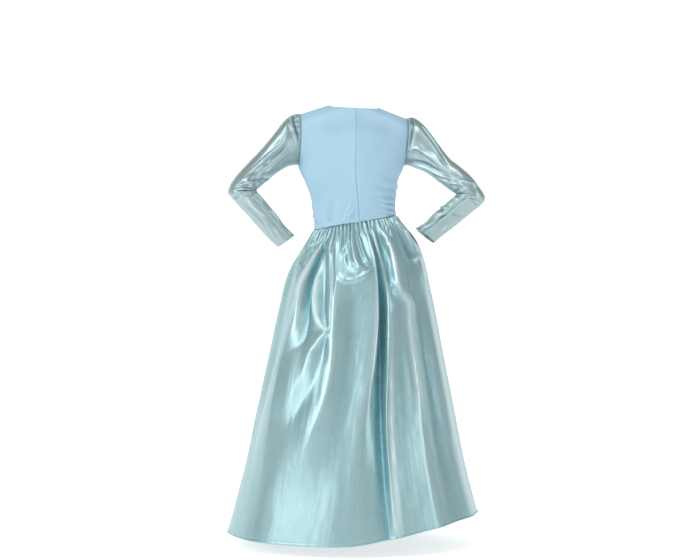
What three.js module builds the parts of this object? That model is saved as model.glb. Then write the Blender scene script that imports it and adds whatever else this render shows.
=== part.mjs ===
// A child's princess costume dress, worn and standing: a matte knit bodice, long satin sleeves bent as for
// hands on hips, and a gathered satin skirt to the ankle. Each cut piece is one cloth wall, and neck, armholes,
// cuffs and hem are open. Sizes are in millimetres. +X is the wearer's left, -Y the front and +Z up. The origin
// lies between the shoulder seams, where the shoulders carry the dress.
import * as THREE from "three";

// Driving sizes
const bodiceWall = 1.6; // knit with its turned edges
const satinWall = 1.5;
const seamGap = 0.3; // between neighbouring pieces
const waistZ = -272; // waist seam below the shoulders
const underarmZ = -133;
const shoulderTip = { x: 130, z: -14 };
const neckSide = { x: 60, z: 11 }; // where the shoulder seam meets the neckline
const skirtLength = 748; // waist seam to hem at the centre back
const skirtSway = -4; // the hips stand a little to the wearer's right
const gatherCount = 66; // round the waist seam
const seamFromEdge = 2.5; // degrees from the edge of the deepest fold to the back seam

// Grid sizes
const bodiceColumns = 7; // centre to side
const bodyRows = 5; // waist to underarm
const armholeRows = 12; // underarm to shoulder tip
const sleeveColumns = 2 * armholeRows;
const nudge = 0.003; // share of a surface over which its slope is taken
const seamDegrees = 150; // scale of the nudge beside a skirt seam, where both pieces must find one slope

// Torso form under the bodice. backY and frontY are its depths from the side seams, sway carries a section
// sideways, and tilt raises its left side by so much for each millimetre.
const torso = [
  { z: -272, halfWidth: 99, backY: 74, frontY: 82, sway: -4, tilt: -0.18 },
  { z: -235, halfWidth: 100, backY: 74, frontY: 83, sway: -2, tilt: -0.12 },
  { z: -200, halfWidth: 104, backY: 77, frontY: 84, sway: 1, tilt: -0.06 },
  { z: -165, halfWidth: 115, backY: 81, frontY: 84, sway: 5, tilt: -0.02 },
  { z: -133, halfWidth: 129, backY: 83, frontY: 82, sway: 6, tilt: 0 },
  { z: -90, halfWidth: 131, backY: 80, frontY: 75, sway: 4, tilt: 0.01 },
  { z: -45, halfWidth: 131, backY: 70, frontY: 62, sway: 1, tilt: 0.02 },
  { z: 0, halfWidth: 130, backY: 52, frontY: 48, sway: 0, tilt: 0.033 },
  { z: 30, halfWidth: 130, backY: 40, frontY: 44, sway: 0, tilt: 0.033 },
];

// Back and front differ in the neck, whose lowest point is on neckRow, and in how far the armhole is cut in.
const bodiceFaces = {
  back: { sign: 1, neckRow: 13, neckZ: 3, neckY: 46, neckRise: 1.5, armholeY: 36, scoop: 0 },
  front: { sign: -1, neckRow: 12, neckZ: -40, neckY: 56, neckRise: 0.9, armholeY: 33, scoop: 7 },
};

// Skirt form: its sections at drops below the waist seam.
const skirtForm = [
  { drop: 0, halfWidth: 99, backY: 74, frontY: 82 },
  { drop: 12, halfWidth: 106, backY: 81, frontY: 88 },
  { drop: 40, halfWidth: 127, backY: 100, frontY: 105 },
  { drop: 95, halfWidth: 156, backY: 128, frontY: 132 },
  { drop: 187, halfWidth: 179, backY: 152, frontY: 158 },
  { drop: 284, halfWidth: 199, backY: 174, frontY: 182 },
  { drop: 429, halfWidth: 229, backY: 205, frontY: 214 },
  { drop: 575, halfWidth: 260, backY: 232, frontY: 243 },
  { drop: 671, halfWidth: 285, backY: 246, frontY: 259 },
  { drop: 748, halfWidth: 307, backY: 255, frontY: 270 },
];

// Length of the skirt round its hem. A bearing is in degrees from the centre back to the wearer's right.
const hemLine = [
  { bearing: -180, drop: 738 },
  { bearing: -90, drop: 745 },
  { bearing: -35, drop: 750 },
  { bearing: -8, drop: 748 },
  { bearing: 9, drop: 734 },
  { bearing: 29, drop: 716 },
  { bearing: 54, drop: 704 },
  { bearing: 90, drop: 712 },
  { bearing: 180, drop: 738 },
];

// Drops at which the skirt's rows lie. The first few carry the gathers in full, with twice as many columns.
const gatheredDrops = [0, 14, 36];
const lowerDrops = [64, 98, 138, 185, 240, 305, 385, 475, 570, 665, 748];

// Folds of the skirt. A fold reaches left and right of its crest, height is positive for a ridge and negative
// for a valley, and lean carries the crest towards the wearer's right. All are in millimetres.
const backFolds = {
  leftHipRidge: [
    { drop: 15, bearing: -43, left: 16, right: 12, height: 2, lean: 0 },
    { drop: 63, bearing: -45, left: 28, right: 14, height: 8, lean: 1 },
    { drop: 127, bearing: -55, left: 40, right: 24, height: 13, lean: 3 },
    { drop: 182, bearing: -56, left: 50, right: 28, height: 15, lean: 3 },
    { drop: 233, bearing: -50, left: 60, right: 34, height: 12, lean: 0 },
    { drop: 304, bearing: -58, left: 80, right: 60, height: 11, lean: 0 },
    { drop: 400, bearing: -58, left: 100, right: 90, height: 7, lean: 0 },
    { drop: 520, bearing: -58, left: 120, right: 100, height: 0, lean: 0 },
  ],
  leftHipValley: [
    { drop: 20, bearing: -37, left: 12, right: 12, height: -3, lean: 0 },
    { drop: 73, bearing: -40, left: 20, right: 20, height: -14, lean: 0 },
    { drop: 151, bearing: -46, left: 32, right: 32, height: -22, lean: 0 },
    { drop: 205, bearing: -46, left: 40, right: 40, height: -17, lean: 0 },
    { drop: 262, bearing: -42, left: 60, right: 44, height: -8, lean: 0 },
    { drop: 330, bearing: -44, left: 70, right: 50, height: 0, lean: 0 },
  ],
  sweptRidge: [
    { drop: 110, bearing: -39, left: 18, right: 20, height: 0, lean: 0 },
    { drop: 174, bearing: -38, left: 24, right: 28, height: 9, lean: 0 },
    { drop: 220, bearing: -37, left: 30, right: 28, height: 11, lean: 0 },
    { drop: 256, bearing: -29, left: 40, right: 24, height: 11, lean: 2 },
    { drop: 300, bearing: -36, left: 56, right: 44, height: 11, lean: 0 },
    { drop: 373, bearing: -45, left: 76, right: 66, height: 9, lean: 0 },
    { drop: 460, bearing: -58, left: 100, right: 90, height: 0, lean: 0 },
  ],
  narrowPleat: [
    { drop: 20, bearing: -32, left: 12, right: 12, height: 2, lean: 0 },
    { drop: 87, bearing: -29, left: 17, right: 12, height: 7, lean: 0 },
    { drop: 186, bearing: -26, left: 22, right: 11, height: 8, lean: 0 },
    { drop: 290, bearing: -25, left: 24, right: 12, height: 5, lean: 0 },
    { drop: 360, bearing: -25, left: 24, right: 14, height: 0, lean: 0 },
  ],
  longRidge: [
    { drop: 15, bearing: -25, left: 9, right: 14, height: 2, lean: 0 },
    { drop: 97, bearing: -24, left: 12, right: 26, height: 8, lean: 0 },
    { drop: 186, bearing: -22, left: 16, right: 40, height: 10, lean: -1 },
    { drop: 300, bearing: -23, left: 32, right: 52, height: 12, lean: -1 },
    { drop: 417, bearing: -26, left: 60, right: 54, height: 12, lean: 0 },
    { drop: 502, bearing: -33, left: 90, right: 76, height: 12, lean: 0 },
    { drop: 600, bearing: -36, left: 120, right: 110, height: 12, lean: 0 },
    { drop: 748, bearing: -38, left: 150, right: 130, height: 9, lean: 0 },
  ],
  centrePuff: [
    { drop: 30, bearing: -10, left: 36, right: 34, height: 2, lean: 0 },
    { drop: 80, bearing: -7, left: 44, right: 42, height: 9, lean: 0 },
    { drop: 122, bearing: -4, left: 52, right: 44, height: 12, lean: 0 },
    { drop: 170, bearing: -4, left: 66, right: 56, height: 0, lean: 0 },
  ],
  centreHollow: [
    { drop: 150, bearing: -10, left: 50, right: 60, height: 0, lean: 0 },
    { drop: 240, bearing: -9, left: 60, right: 62, height: -6, lean: 0 },
    { drop: 400, bearing: -13, left: 80, right: 70, height: -10, lean: 0 },
    { drop: 560, bearing: -15, left: 96, right: 80, height: -8, lean: 0 },
    { drop: 748, bearing: -12, left: 110, right: 90, height: -4, lean: 0 },
  ],
  backEdge: [
    { drop: 0, bearing: 6, left: 16, right: 10, height: 2, lean: 1 },
    { drop: 90, bearing: 9.5, left: 30, right: 12, height: 8, lean: 3 },
    { drop: 186, bearing: 8, left: 50, right: 16, height: 11, lean: 7 },
    { drop: 302, bearing: 5, left: 60, right: 20, height: 11, lean: 6 },
    { drop: 416, bearing: 0, left: 66, right: 34, height: 8, lean: 3 },
    { drop: 560, bearing: -3, left: 70, right: 44, height: 4, lean: 0 },
    { drop: 748, bearing: -4, left: 80, right: 70, height: 0, lean: 0 },
  ],
  deepValley: [
    { drop: 10, bearing: 9, left: 7, right: 10, height: -3, lean: 0 },
    { drop: 80, bearing: 12, left: 11, right: 18, height: -15, lean: 0 },
    { drop: 151, bearing: 13, left: 15, right: 26, height: -32, lean: 0 },
    { drop: 256, bearing: 12, left: 20, right: 32, height: -40, lean: 0 },
    { drop: 348, bearing: 10.5, left: 34, right: 34, height: -38, lean: 0 },
    { drop: 440, bearing: 8, left: 50, right: 34, height: -31, lean: 0 },
    { drop: 560, bearing: 5, left: 60, right: 48, height: -22, lean: 0 },
    { drop: 660, bearing: 5, left: 74, right: 62, height: -15, lean: 0 },
    { drop: 748, bearing: 5, left: 90, right: 74, height: -9, lean: 0 },
  ],
  rightFlankEdge: [
    { drop: 170, bearing: 20, left: 24, right: 36, height: 0, lean: 0 },
    { drop: 256, bearing: 18.5, left: 20, right: 60, height: 6, lean: -3 },
    { drop: 348, bearing: 16.5, left: 20, right: 76, height: 9, lean: -6 },
    { drop: 451, bearing: 14.5, left: 22, right: 84, height: 12, lean: -8 },
    { drop: 560, bearing: 14, left: 28, right: 84, height: 13, lean: -7 },
    { drop: 640, bearing: 14, left: 40, right: 84, height: 11, lean: -4 },
    { drop: 748, bearing: 13, left: 60, right: 90, height: 8, lean: -1 },
  ],
  rightHollow: [
    { drop: 20, bearing: 22, left: 14, right: 12, height: -4, lean: 0 },
    { drop: 68, bearing: 22, left: 22, right: 16, height: -13, lean: 0 },
    { drop: 130, bearing: 22, left: 26, right: 22, height: -10, lean: 0 },
    { drop: 190, bearing: 25, left: 36, right: 30, height: 0, lean: 0 },
  ],
  rightRidge: [
    { drop: 10, bearing: 29, left: 12, right: 18, height: 3, lean: 0 },
    { drop: 87, bearing: 29, left: 22, right: 30, height: 10, lean: 0 },
    { drop: 160, bearing: 30, left: 30, right: 40, height: 13, lean: 0 },
    { drop: 200, bearing: 36, left: 44, right: 40, height: 13, lean: 0 },
    { drop: 300, bearing: 35, left: 56, right: 50, height: 12, lean: 0 },
    { drop: 440, bearing: 32, left: 70, right: 66, height: 11, lean: 0 },
    { drop: 604, bearing: 32, left: 84, right: 88, height: 11, lean: 0 },
    { drop: 748, bearing: 35, left: 110, right: 110, height: 8, lean: 0 },
  ],
  rightHipValley: [
    { drop: 20, bearing: 49, left: 15, right: 13, height: -4, lean: 0 },
    { drop: 62, bearing: 47, left: 28, right: 22, height: -16, lean: 0 },
    { drop: 95, bearing: 48, left: 34, right: 32, height: -10, lean: 0 },
    { drop: 145, bearing: 50, left: 44, right: 44, height: 0, lean: 0 },
  ],
  rightHipRidge: [
    { drop: 20, bearing: 62, left: 18, right: 20, height: 3, lean: 0 },
    { drop: 71, bearing: 67, left: 30, right: 32, height: 9, lean: 0 },
    { drop: 150, bearing: 68, left: 46, right: 50, height: 4, lean: 0 },
    { drop: 230, bearing: 64, left: 54, right: 54, height: 0, lean: 0 },
  ],
  rightSoftValley: [
    { drop: 190, bearing: 47, left: 32, right: 36, height: 0, lean: 0 },
    { drop: 330, bearing: 46, left: 46, right: 54, height: -8, lean: 0 },
    { drop: 560, bearing: 46, left: 64, right: 66, height: -10, lean: 0 },
    { drop: 748, bearing: 50, left: 84, right: 76, height: -7, lean: 0 },
  ],
  rightSoftRidge: [
    { drop: 170, bearing: 63, left: 36, right: 48, height: 0, lean: 0 },
    { drop: 330, bearing: 59, left: 52, right: 66, height: 8, lean: 0 },
    { drop: 560, bearing: 57, left: 70, right: 76, height: 9, lean: 0 },
    { drop: 748, bearing: 62, left: 92, right: 90, height: 7, lean: 0 },
  ],
};

// Folds of the sides and the front hang straighter. Each runs from its bearing at the waist to one at the hem,
// and dies out at its longest drop.
const frontFolds = [
  { top: 80, bottom: 79, reach: 30, height: -9, longest: 748 },
  { top: 92, bottom: 91, reach: 34, height: 8, longest: 748 },
  { top: 104, bottom: 102, reach: 26, height: -15, longest: 640 },
  { top: 116, bottom: 114, reach: 34, height: 13, longest: 748 },
  { top: 129, bottom: 127, reach: 30, height: -24, longest: 748 },
  { top: 141, bottom: 142, reach: 32, height: 13, longest: 748 },
  { top: 152, bottom: 154, reach: 24, height: -16, longest: 430 },
  { top: 164, bottom: 168, reach: 34, height: 12, longest: 748 },
  { top: 178, bottom: 182, reach: 28, height: -26, longest: 748 },
  { top: 190, bottom: 196, reach: 32, height: 13, longest: 748 },
  { top: 201, bottom: 208, reach: 24, height: -15, longest: 400 },
  { top: 213, bottom: 221, reach: 34, height: 13, longest: 748 },
  { top: 226, bottom: 234, reach: 30, height: -23, longest: 700 },
  { top: 239, bottom: 246, reach: 34, height: 12, longest: 748 },
  { top: 252, bottom: 257, reach: 26, height: -14, longest: 520 },
  { top: 264, bottom: 268, reach: 34, height: 8, longest: 748 },
  { top: 278, bottom: 281, reach: 30, height: -8, longest: 600 },
];

// Sleeve sections from armhole to cuff. top and under are a section's ends on the outer and the inner side of
// the arm, back is how far it lies behind the side seam, and halfDepth is half its size from front to back.
const sleeveSections = {
  left: [
    { topX: 130, topZ: -10, underX: 135, underZ: -133, back: 0, halfDepth: 35 },
    { topX: 152, topZ: -14, underX: 149, underZ: -136, back: 6, halfDepth: 41 },
    { topX: 171, topZ: -28, underX: 163, underZ: -140, back: 15, halfDepth: 40 },
    { topX: 192, topZ: -54, underX: 178, underZ: -148, back: 27, halfDepth: 37 },
    { topX: 215, topZ: -82, underX: 196, underZ: -160, back: 40, halfDepth: 35 },
    { topX: 238, topZ: -108, underX: 213, underZ: -175, back: 52, halfDepth: 33 },
    { topX: 263, topZ: -133, underX: 230, underZ: -188, back: 64, halfDepth: 32 },
    { topX: 287, topZ: -160, underX: 239, underZ: -196, back: 74, halfDepth: 31 },
    { topX: 306, topZ: -187, underX: 241.5, underZ: -198.5, back: 80, halfDepth: 31 },
    { topX: 311, topZ: -205, underX: 241.5, underZ: -201.5, back: 81, halfDepth: 31 },
    { topX: 303, topZ: -217, underX: 240, underZ: -204.5, back: 80, halfDepth: 30 },
    { topX: 284, topZ: -238, underX: 234, underZ: -210, back: 77, halfDepth: 29 },
    { topX: 259, topZ: -263, underX: 218, underZ: -227, back: 72, halfDepth: 28 },
    { topX: 231, topZ: -294, underX: 195, underZ: -255, back: 65, halfDepth: 26 },
    { topX: 207, topZ: -319, underX: 171, underZ: -284, back: 58, halfDepth: 25 },
    { topX: 188, topZ: -332, underX: 150, underZ: -305, back: 54, halfDepth: 24 },
  ],
  right: [
    { topX: 130, topZ: -19, underX: 122, underZ: -132, back: 0, halfDepth: 35 },
    { topX: 149, topZ: -17, underX: 133, underZ: -132, back: 6, halfDepth: 41 },
    { topX: 167, topZ: -30, underX: 149, underZ: -139, back: 14, halfDepth: 40 },
    { topX: 185, topZ: -54, underX: 168, underZ: -148, back: 25, halfDepth: 37 },
    { topX: 205, topZ: -86, underX: 184, underZ: -160, back: 38, halfDepth: 35 },
    { topX: 227, topZ: -117, underX: 201, underZ: -174, back: 50, halfDepth: 33 },
    { topX: 247, topZ: -134, underX: 218, underZ: -189, back: 62, halfDepth: 32 },
    { topX: 272, topZ: -157, underX: 232, underZ: -200, back: 72, halfDepth: 32 },
    { topX: 294, topZ: -186, underX: 236.5, underZ: -203.5, back: 78, halfDepth: 32 },
    { topX: 309, topZ: -212, underX: 236.5, underZ: -206.5, back: 78, halfDepth: 32 },
    { topX: 301, topZ: -229, underX: 232.5, underZ: -210, back: 76, halfDepth: 31 },
    { topX: 279, topZ: -248, underX: 222, underZ: -220, back: 66, halfDepth: 30 },
    { topX: 258, topZ: -267, underX: 205, underZ: -237, back: 52, halfDepth: 29 },
    { topX: 239, topZ: -284, underX: 187, underZ: -253, back: 38, halfDepth: 28 },
    { topX: 219, topZ: -301, underX: 171, underZ: -271, back: 24, halfDepth: 27 },
    { topX: 197, topZ: -321, underX: 152, underZ: -285, back: 12, halfDepth: 26 },
  ],
};

// Shares of the sleeve's length at which its rows lie. Those of the head carry its gathers, with twice as many
// columns.
const headDowns = [0, 0.03, 0.08];
const armDowns = [0.14, 0.21, 0.29, 0.37, 0.44, 0.5, 0.55, 0.59, 0.63, 0.68, 0.75, 0.83, 0.92, 1];

const setInLength = 0.12; // share of the sleeve that takes up the armhole's shape

// Gathers of the sleeve head: one in turn degrees of the armhole, over spread degrees each side of its top.
const headGather = { turn: 15, spread: 100, height: 2, length: 0.14 };

// Creases of a sleeve, which run out from the inner elbow. start and end are degrees round the arm, with 0 on
// its outer side and 90 at its back. A crease goes from the share at to at plus drift, reach to either side.
const sleeveCreases = [
  { at: 0.5, drift: -0.12, start: 175, end: 50, reach: 0.035, depth: 4 },
  { at: 0.56, drift: -0.02, start: 180, end: 40, reach: 0.03, depth: 5 },
  { at: 0.43, drift: -0.16, start: 165, end: 60, reach: 0.035, depth: 3 },
  { at: 0.65, drift: 0.06, start: 180, end: 60, reach: 0.035, depth: 4 },
  { at: 0.55, drift: -0.04, start: 185, end: 310, reach: 0.03, depth: 5 },
  { at: 0.47, drift: -0.12, start: 190, end: 290, reach: 0.035, depth: 4 },
  { at: 0.64, drift: 0.06, start: 185, end: 290, reach: 0.035, depth: 3 },
];

const mix = THREE.MathUtils.lerp;
const clamp = THREE.MathUtils.clamp;
const radians = THREE.MathUtils.degToRad;
const wrap = THREE.MathUtils.euclideanModulo;
const ease = (t) => THREE.MathUtils.smoothstep(t, 0, 1);

// A table's column between its rows, on a smooth curve through them.
function along(rows, key, place, column) {
  const last = rows.length - 1;
  const at = clamp(place, rows[0][key], rows[last][key]);
  let i = 0;
  while (i < last - 1 && at > rows[i + 1][key]) i += 1;
  const slope = (k) => {
    const before = rows[Math.max(k - 1, 0)];
    const after = rows[Math.min(k + 1, last)];
    return (after[column] - before[column]) / (after[key] - before[key]);
  };
  const span = rows[i + 1][key] - rows[i][key];
  const t = (at - rows[i][key]) / span;
  const bend = span * t * (1 - t) * ((1 - t) * slope(i) - t * slope(i + 1));
  return mix(rows[i][column], rows[i + 1][column], ease(t)) + bend;
}

// A number from 0 to 1 that looks random and is the same each time.
const scatter = (n) => wrap(Math.sin(n * 12.9898) * 43758.5453, 1);

// How much of a fold is left at a share of its reach.
const fade = (share) => Math.pow(1 - Math.min(share * share, 1), 2);

// The outward direction of a surface, where at(across, down) gives its points.
function outward(at, across, down, turn) {
  const acrossWay = at(across + nudge, down).sub(at(across - nudge, down));
  const downWay = at(across, Math.min(down + nudge, 1)).sub(at(across, Math.max(down - nudge, 0)));
  return downWay.cross(acrossWay).multiplyScalar(turn).normalize();
}

// Cloth before it has thickness. Points that fall together are one.
const newSheet = () => ({ points: [], normals: [], triangles: [], places: new Map() });

function placeOf(sheet, { point, normal }) {
  const key = point.toArray().map((value) => value.toFixed(4)).join(" ");
  if (!sheet.places.has(key)) {
    sheet.places.set(key, sheet.points.length);
    sheet.points.push(point);
    sheet.normals.push(normal);
  }
  return sheet.places.get(key);
}

// Adds rows that run downwards, each from left to right as seen from outside where turn is 1. A row may have
// half as many columns as the one above, and the rows of a ring close on themselves.
function addRows(sheet, rows, turn, ring) {
  const add = (a, b, c) => sheet.triangles.push(turn > 0 ? [a, b, c] : [a, c, b]);
  const places = rows.map((row) => row.map((corner) => placeOf(sheet, corner)));
  for (let r = 0; r + 1 < rows.length; r += 1) {
    const upper = places[r];
    const lower = places[r + 1];
    const open = ring ? 0 : 1;
    const strips = lower.length - open;
    const step = (upper.length - open) / strips;
    for (let c = 0; c < strips; c += 1) {
      const [low, lowNext] = [lower[c], lower[(c + 1) % lower.length]];
      const [top, topNext, topLast] = [0, 1, 2].map((k) => upper[(c * step + k) % upper.length]);
      add(top, low, topNext);
      add(topNext, low, lowNext);
      if (step === 2) add(topNext, lowNext, topLast);
    }
  }
}

// Gives a sheet its wall, inwards from the outer points, and closes the wall along every edge.
function thicken(sheet, wall) {
  const edges = new Map();
  for (const [a, b, c] of sheet.triangles) {
    for (const [from, to] of [[a, b], [b, c], [c, a]]) {
      if (!edges.delete(`${to} ${from}`)) edges.set(`${from} ${to}`, [from, to]);
    }
  }
  const inner = sheet.points.map((point, i) => point.clone().addScaledVector(sheet.normals[i], -wall));
  const count = inner.length;
  const indices = sheet.triangles.flatMap(([a, b, c]) => [a, b, c, a + count, c + count, b + count]);
  for (const [from, to] of edges.values()) {
    indices.push(to, from, from + count, to, from + count, to + count);
  }
  const geometry = new THREE.BufferGeometry().setFromPoints([...sheet.points, ...inner]);
  geometry.setIndex(indices);
  geometry.computeVertexNormals();
  return geometry;
}

// Draws a point back from a seam, towards its neighbour on the same piece.
function drawBack(corner, neighbour) {
  const way = neighbour.point.clone().sub(corner.point).normalize();
  corner.point.addScaledVector(way, seamGap / 2);
}

// The stance: the torso sways a little to one side, and the waist dips to the wearer's left.
function posed(x, y, z) {
  const sway = along(torso, "z", z, "sway");
  return new THREE.Vector3(x + sway, y, z + along(torso, "z", z, "tilt") * x);
}

const bodiceRows = bodyRows + armholeRows;
const underarmLevel = bodyRows / bodiceRows;

// The armhole's edge on one face, from the underarm at 0 to the shoulder tip at 1.
function armholeEdge(face, share) {
  const turn = Math.PI * share;
  const rise = (1 - Math.cos(turn)) / 2;
  const widest = mix(along(torso, "z", underarmZ, "halfWidth"), shoulderTip.x, rise);
  const z = mix(underarmZ, shoulderTip.z, rise);
  return { x: widest - face.scoop * Math.sin(turn), y: face.armholeY * Math.sin(turn), z };
}

// A bodice half's outer edge: the side seam and then the armhole.
function sideEdge(face, level) {
  if (level > underarmLevel) return armholeEdge(face, (level - underarmLevel) / (1 - underarmLevel));
  const z = mix(waistZ, underarmZ, level / underarmLevel);
  return { x: along(torso, "z", z, "halfWidth"), y: 0, z };
}

// A bodice half's inner edge: the centre line and then the neckline.
function centreEdge(face, level) {
  const neckLevel = face.neckRow / bodiceRows;
  if (level <= neckLevel) {
    const z = mix(waistZ, face.neckZ, level / neckLevel);
    const depth = along(torso, "z", z, face.sign > 0 ? "backY" : "frontY");
    return { x: 0, y: mix(depth, face.neckY, ease((z - face.neckZ + 60) / 60)), z };
  }
  const turn = ((level - neckLevel) / (1 - neckLevel)) * (Math.PI / 2);
  const z = mix(face.neckZ, neckSide.z, Math.pow(1 - Math.cos(turn), face.neckRise));
  return { x: neckSide.x * Math.sin(turn), y: face.neckY * Math.cos(turn), z };
}

// A point of the bodice. across runs from the centre at 0 to the side at 1, and level from the waist up.
function bodicePoint(face, side, across, level) {
  const inner = centreEdge(face, level);
  const outer = sideEdge(face, level);
  const turn = (across * Math.PI) / 2;
  const roundness = 1 - 0.35 * ease((level - underarmLevel) / 0.15) - 0.65 * ease((level - 0.7) / 0.3);
  const x = mix(mix(inner.x, outer.x, across), inner.x + (outer.x - inner.x) * Math.sin(turn), roundness);
  const y = mix(mix(inner.y, outer.y, across), outer.y + (inner.y - outer.y) * Math.cos(turn), roundness);
  return posed(side * x, face.sign * y, mix(inner.z, outer.z, across));
}

// The bodice's outward direction, the same on both sides of a seam.
function bodiceNormal(face, side, across, level) {
  const at = (place, down) => bodicePoint(face, side, clamp(place, 0, 1), 1 - down);
  const normal = outward(at, across, 1 - level, side * face.sign * -1);
  if (across === 0 && level <= face.neckRow / bodiceRows) normal.x = 0;
  if (across === 1 && level <= underarmLevel) normal.y = 0;
  if (level === 1) normal.set(side * 0.3, 0, 1);
  return normal.normalize();
}

// The rows of half a bodice face, from the shoulder down, each from the centre out.
function bodiceHalf(face, side) {
  const rows = [];
  for (let r = bodiceRows; r >= 0; r -= 1) {
    const level = r / bodiceRows;
    const row = [];
    for (let c = 0; c <= bodiceColumns; c += 1) {
      const place = [face, side, c / bodiceColumns, level];
      row.push({ point: bodicePoint(...place), normal: bodiceNormal(...place) });
    }
    drawBack(row[bodiceColumns], row[bodiceColumns - 1]);
    if (face.sign > 0) drawBack(row[0], row[1]);
    rows.push(row);
  }
  for (let c = 0; c <= bodiceColumns; c += 1) {
    drawBack(rows[0][c], rows[1][c]);
    drawBack(rows[bodiceRows][c], rows[bodiceRows - 1][c]);
  }
  return rows;
}

function bodicePiece(face, sides) {
  const sheet = newSheet();
  for (const side of sides) addRows(sheet, bodiceHalf(face, side), -side * face.sign, false);
  return thicken(sheet, bodiceWall);
}

// A sleeve's tube without its set-in head, at an angle round the arm.
function tubePoint(name, degrees, down) {
  const side = name === "left" ? 1 : -1;
  const column = (key) => along(sleeveSections[name], "down", down, key);
  const turn = radians(degrees);
  const top = new THREE.Vector3(side * column("topX"), column("back"), column("topZ"));
  const under = new THREE.Vector3(side * column("underX"), column("back"), column("underZ"));
  const half = top.clone().sub(under).divideScalar(2);
  const size = half.length();
  let out = 0;
  for (const crease of sleeveCreases) {
    const share = (degrees - crease.start) / (crease.end - crease.start);
    if (share < 0 || share > 1) continue;
    const away = (down - crease.at - crease.drift * share) / crease.reach;
    out -= crease.depth * fade(away) * fade(share) * ease(share * 6 + 0.3);
  }
  const fromTop = Math.min(degrees, 360 - degrees);
  const gathered = (1 - ease(down / headGather.length)) * ease(down / 0.03);
  const spread = ease((headGather.spread - fromTop) / 30);
  out -= headGather.height * gathered * spread * Math.cos((degrees / headGather.turn) * 2 * Math.PI);
  const point = under.add(half).addScaledVector(half, ((size + out) / size) * Math.cos(turn));
  point.y += (column("halfDepth") + out) * Math.sin(turn);
  return point;
}

// A point of a sleeve, which starts on the armhole. around is in turns, with 0 on the outer side of the arm
// and a quarter at its back.
function sleevePoint(name, around, down) {
  const side = name === "left" ? 1 : -1;
  const degrees = wrap(around, 1) * 360;
  const face = degrees < 180 ? bodiceFaces.back : bodiceFaces.front;
  const edge = armholeEdge(face, 1 - Math.min(degrees, 360 - degrees) / 180);
  const setIn = posed(side * (edge.x + seamGap), face.sign * edge.y, edge.z);
  setIn.sub(tubePoint(name, degrees, 0));
  return tubePoint(name, degrees, down).addScaledVector(setIn, 1 - ease(down / setInLength));
}

function sleevePiece(name) {
  const turn = name === "left" ? 1 : -1;
  const at = (around, down) => sleevePoint(name, around, down);
  const ring = (down, columns) => Array.from({ length: columns }, (_, c) => ({
    point: at(c / columns, down),
    normal: outward(at, c / columns, down, turn),
  }));
  const sheet = newSheet();
  const head = headDowns.map((down) => ring(down, 2 * sleeveColumns));
  const arm = armDowns.map((down) => ring(down, sleeveColumns));
  addRows(sheet, [...head, ...arm], turn, true);
  return thicken(sheet, satinWall);
}

// The skirt's back seam runs down beside the edge of its deepest fold.
const backSeam = (drop) => along(backFolds.backEdge, "drop", drop, "bearing") - seamFromEdge;

// Skirt pieces, from one seam to the next. gathers is how many of the waist's gathers a piece takes, after the
// first ones. dense draws the columns towards the piece's start, where the deepest fold lies.
const skirtPieces = {
  skirt_back_left: { start: () => -90, end: backSeam, gathers: 18, first: 0, dense: 1 },
  skirt_back_right: { start: backSeam, end: () => 90, gathers: 15, first: 18, dense: 1.35 },
  skirt_front: { start: () => 90, end: () => 270, gathers: 33, first: 33, dense: 1 },
};

// The waist's gathers, each of its own height and length.
function gatherHeight(wave, drop) {
  const number = Math.floor(wave);
  const part = ease(wave - number);
  const between = (salt) => mix(
    scatter(wrap(number, gatherCount) + salt),
    scatter(wrap(number + 1, gatherCount) + salt),
    part,
  );
  const length = mix(50, 120, between(7));
  const left = Math.pow(1 - clamp(drop / length, 0, 1), 1.3);
  return -mix(1.7, 3, between(90)) * left * Math.cos(wave * 2 * Math.PI);
}

// How far the folds carry a point of the skirt outwards and towards the wearer's right.
function foldsAt(bearing, drop, degreeWidth) {
  const shift = { out: 0, aside: 0 };
  for (const rows of Object.values(backFolds)) {
    const column = (key) => along(rows, "drop", drop, key);
    const away = (bearing - column("bearing")) * degreeWidth;
    const shape = fade(away / column(away < 0 ? "left" : "right"));
    shift.out += column("height") * shape;
    shift.aside += column("lean") * shape;
  }
  for (const fold of frontFolds) {
    const share = drop / skirtLength;
    const away = (wrap(bearing, 360) - mix(fold.top, fold.bottom, share)) * degreeWidth;
    const end = fold.longest < skirtLength ? 1 : 0.4;
    const height = fold.height * ease(drop / 130) * (1 - end * ease((drop / fold.longest - 0.5) * 2));
    shift.out += height * fade(away / (fold.reach * mix(0.8, 2.2, share)));
  }
  return shift;
}

// A point of the skirt. wave is its place among the gathers, and down runs from the waist to the hem.
function skirtPoint(bearing, wave, down) {
  const drop = down * along(hemLine, "bearing", wrap(bearing + 180, 360) - 180, "drop");
  const turn = radians(bearing);
  const halfWidth = along(skirtForm, "drop", drop, "halfWidth");
  const depth = along(skirtForm, "drop", drop, Math.cos(turn) > 0 ? "backY" : "frontY");
  const degreeWidth = radians(1) * Math.hypot(halfWidth * Math.cos(turn), depth * Math.sin(turn));
  const folds = foldsAt(bearing, drop, degreeWidth);
  const grown = ease(drop / 45);
  const out = folds.out * grown + gatherHeight(wave, drop);
  const way = new THREE.Vector2(-depth * Math.sin(turn), halfWidth * Math.cos(turn)).normalize();
  const x = -halfWidth * Math.sin(turn) + out * way.x - folds.aside * grown * way.y;
  const y = depth * Math.cos(turn) + out * way.y + folds.aside * grown * way.x;
  const slant = along(torso, "z", waistZ, "tilt") * Math.pow(1 - down, 2);
  return new THREE.Vector3(x + skirtSway, y, waistZ - drop + slant * x);
}

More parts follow.
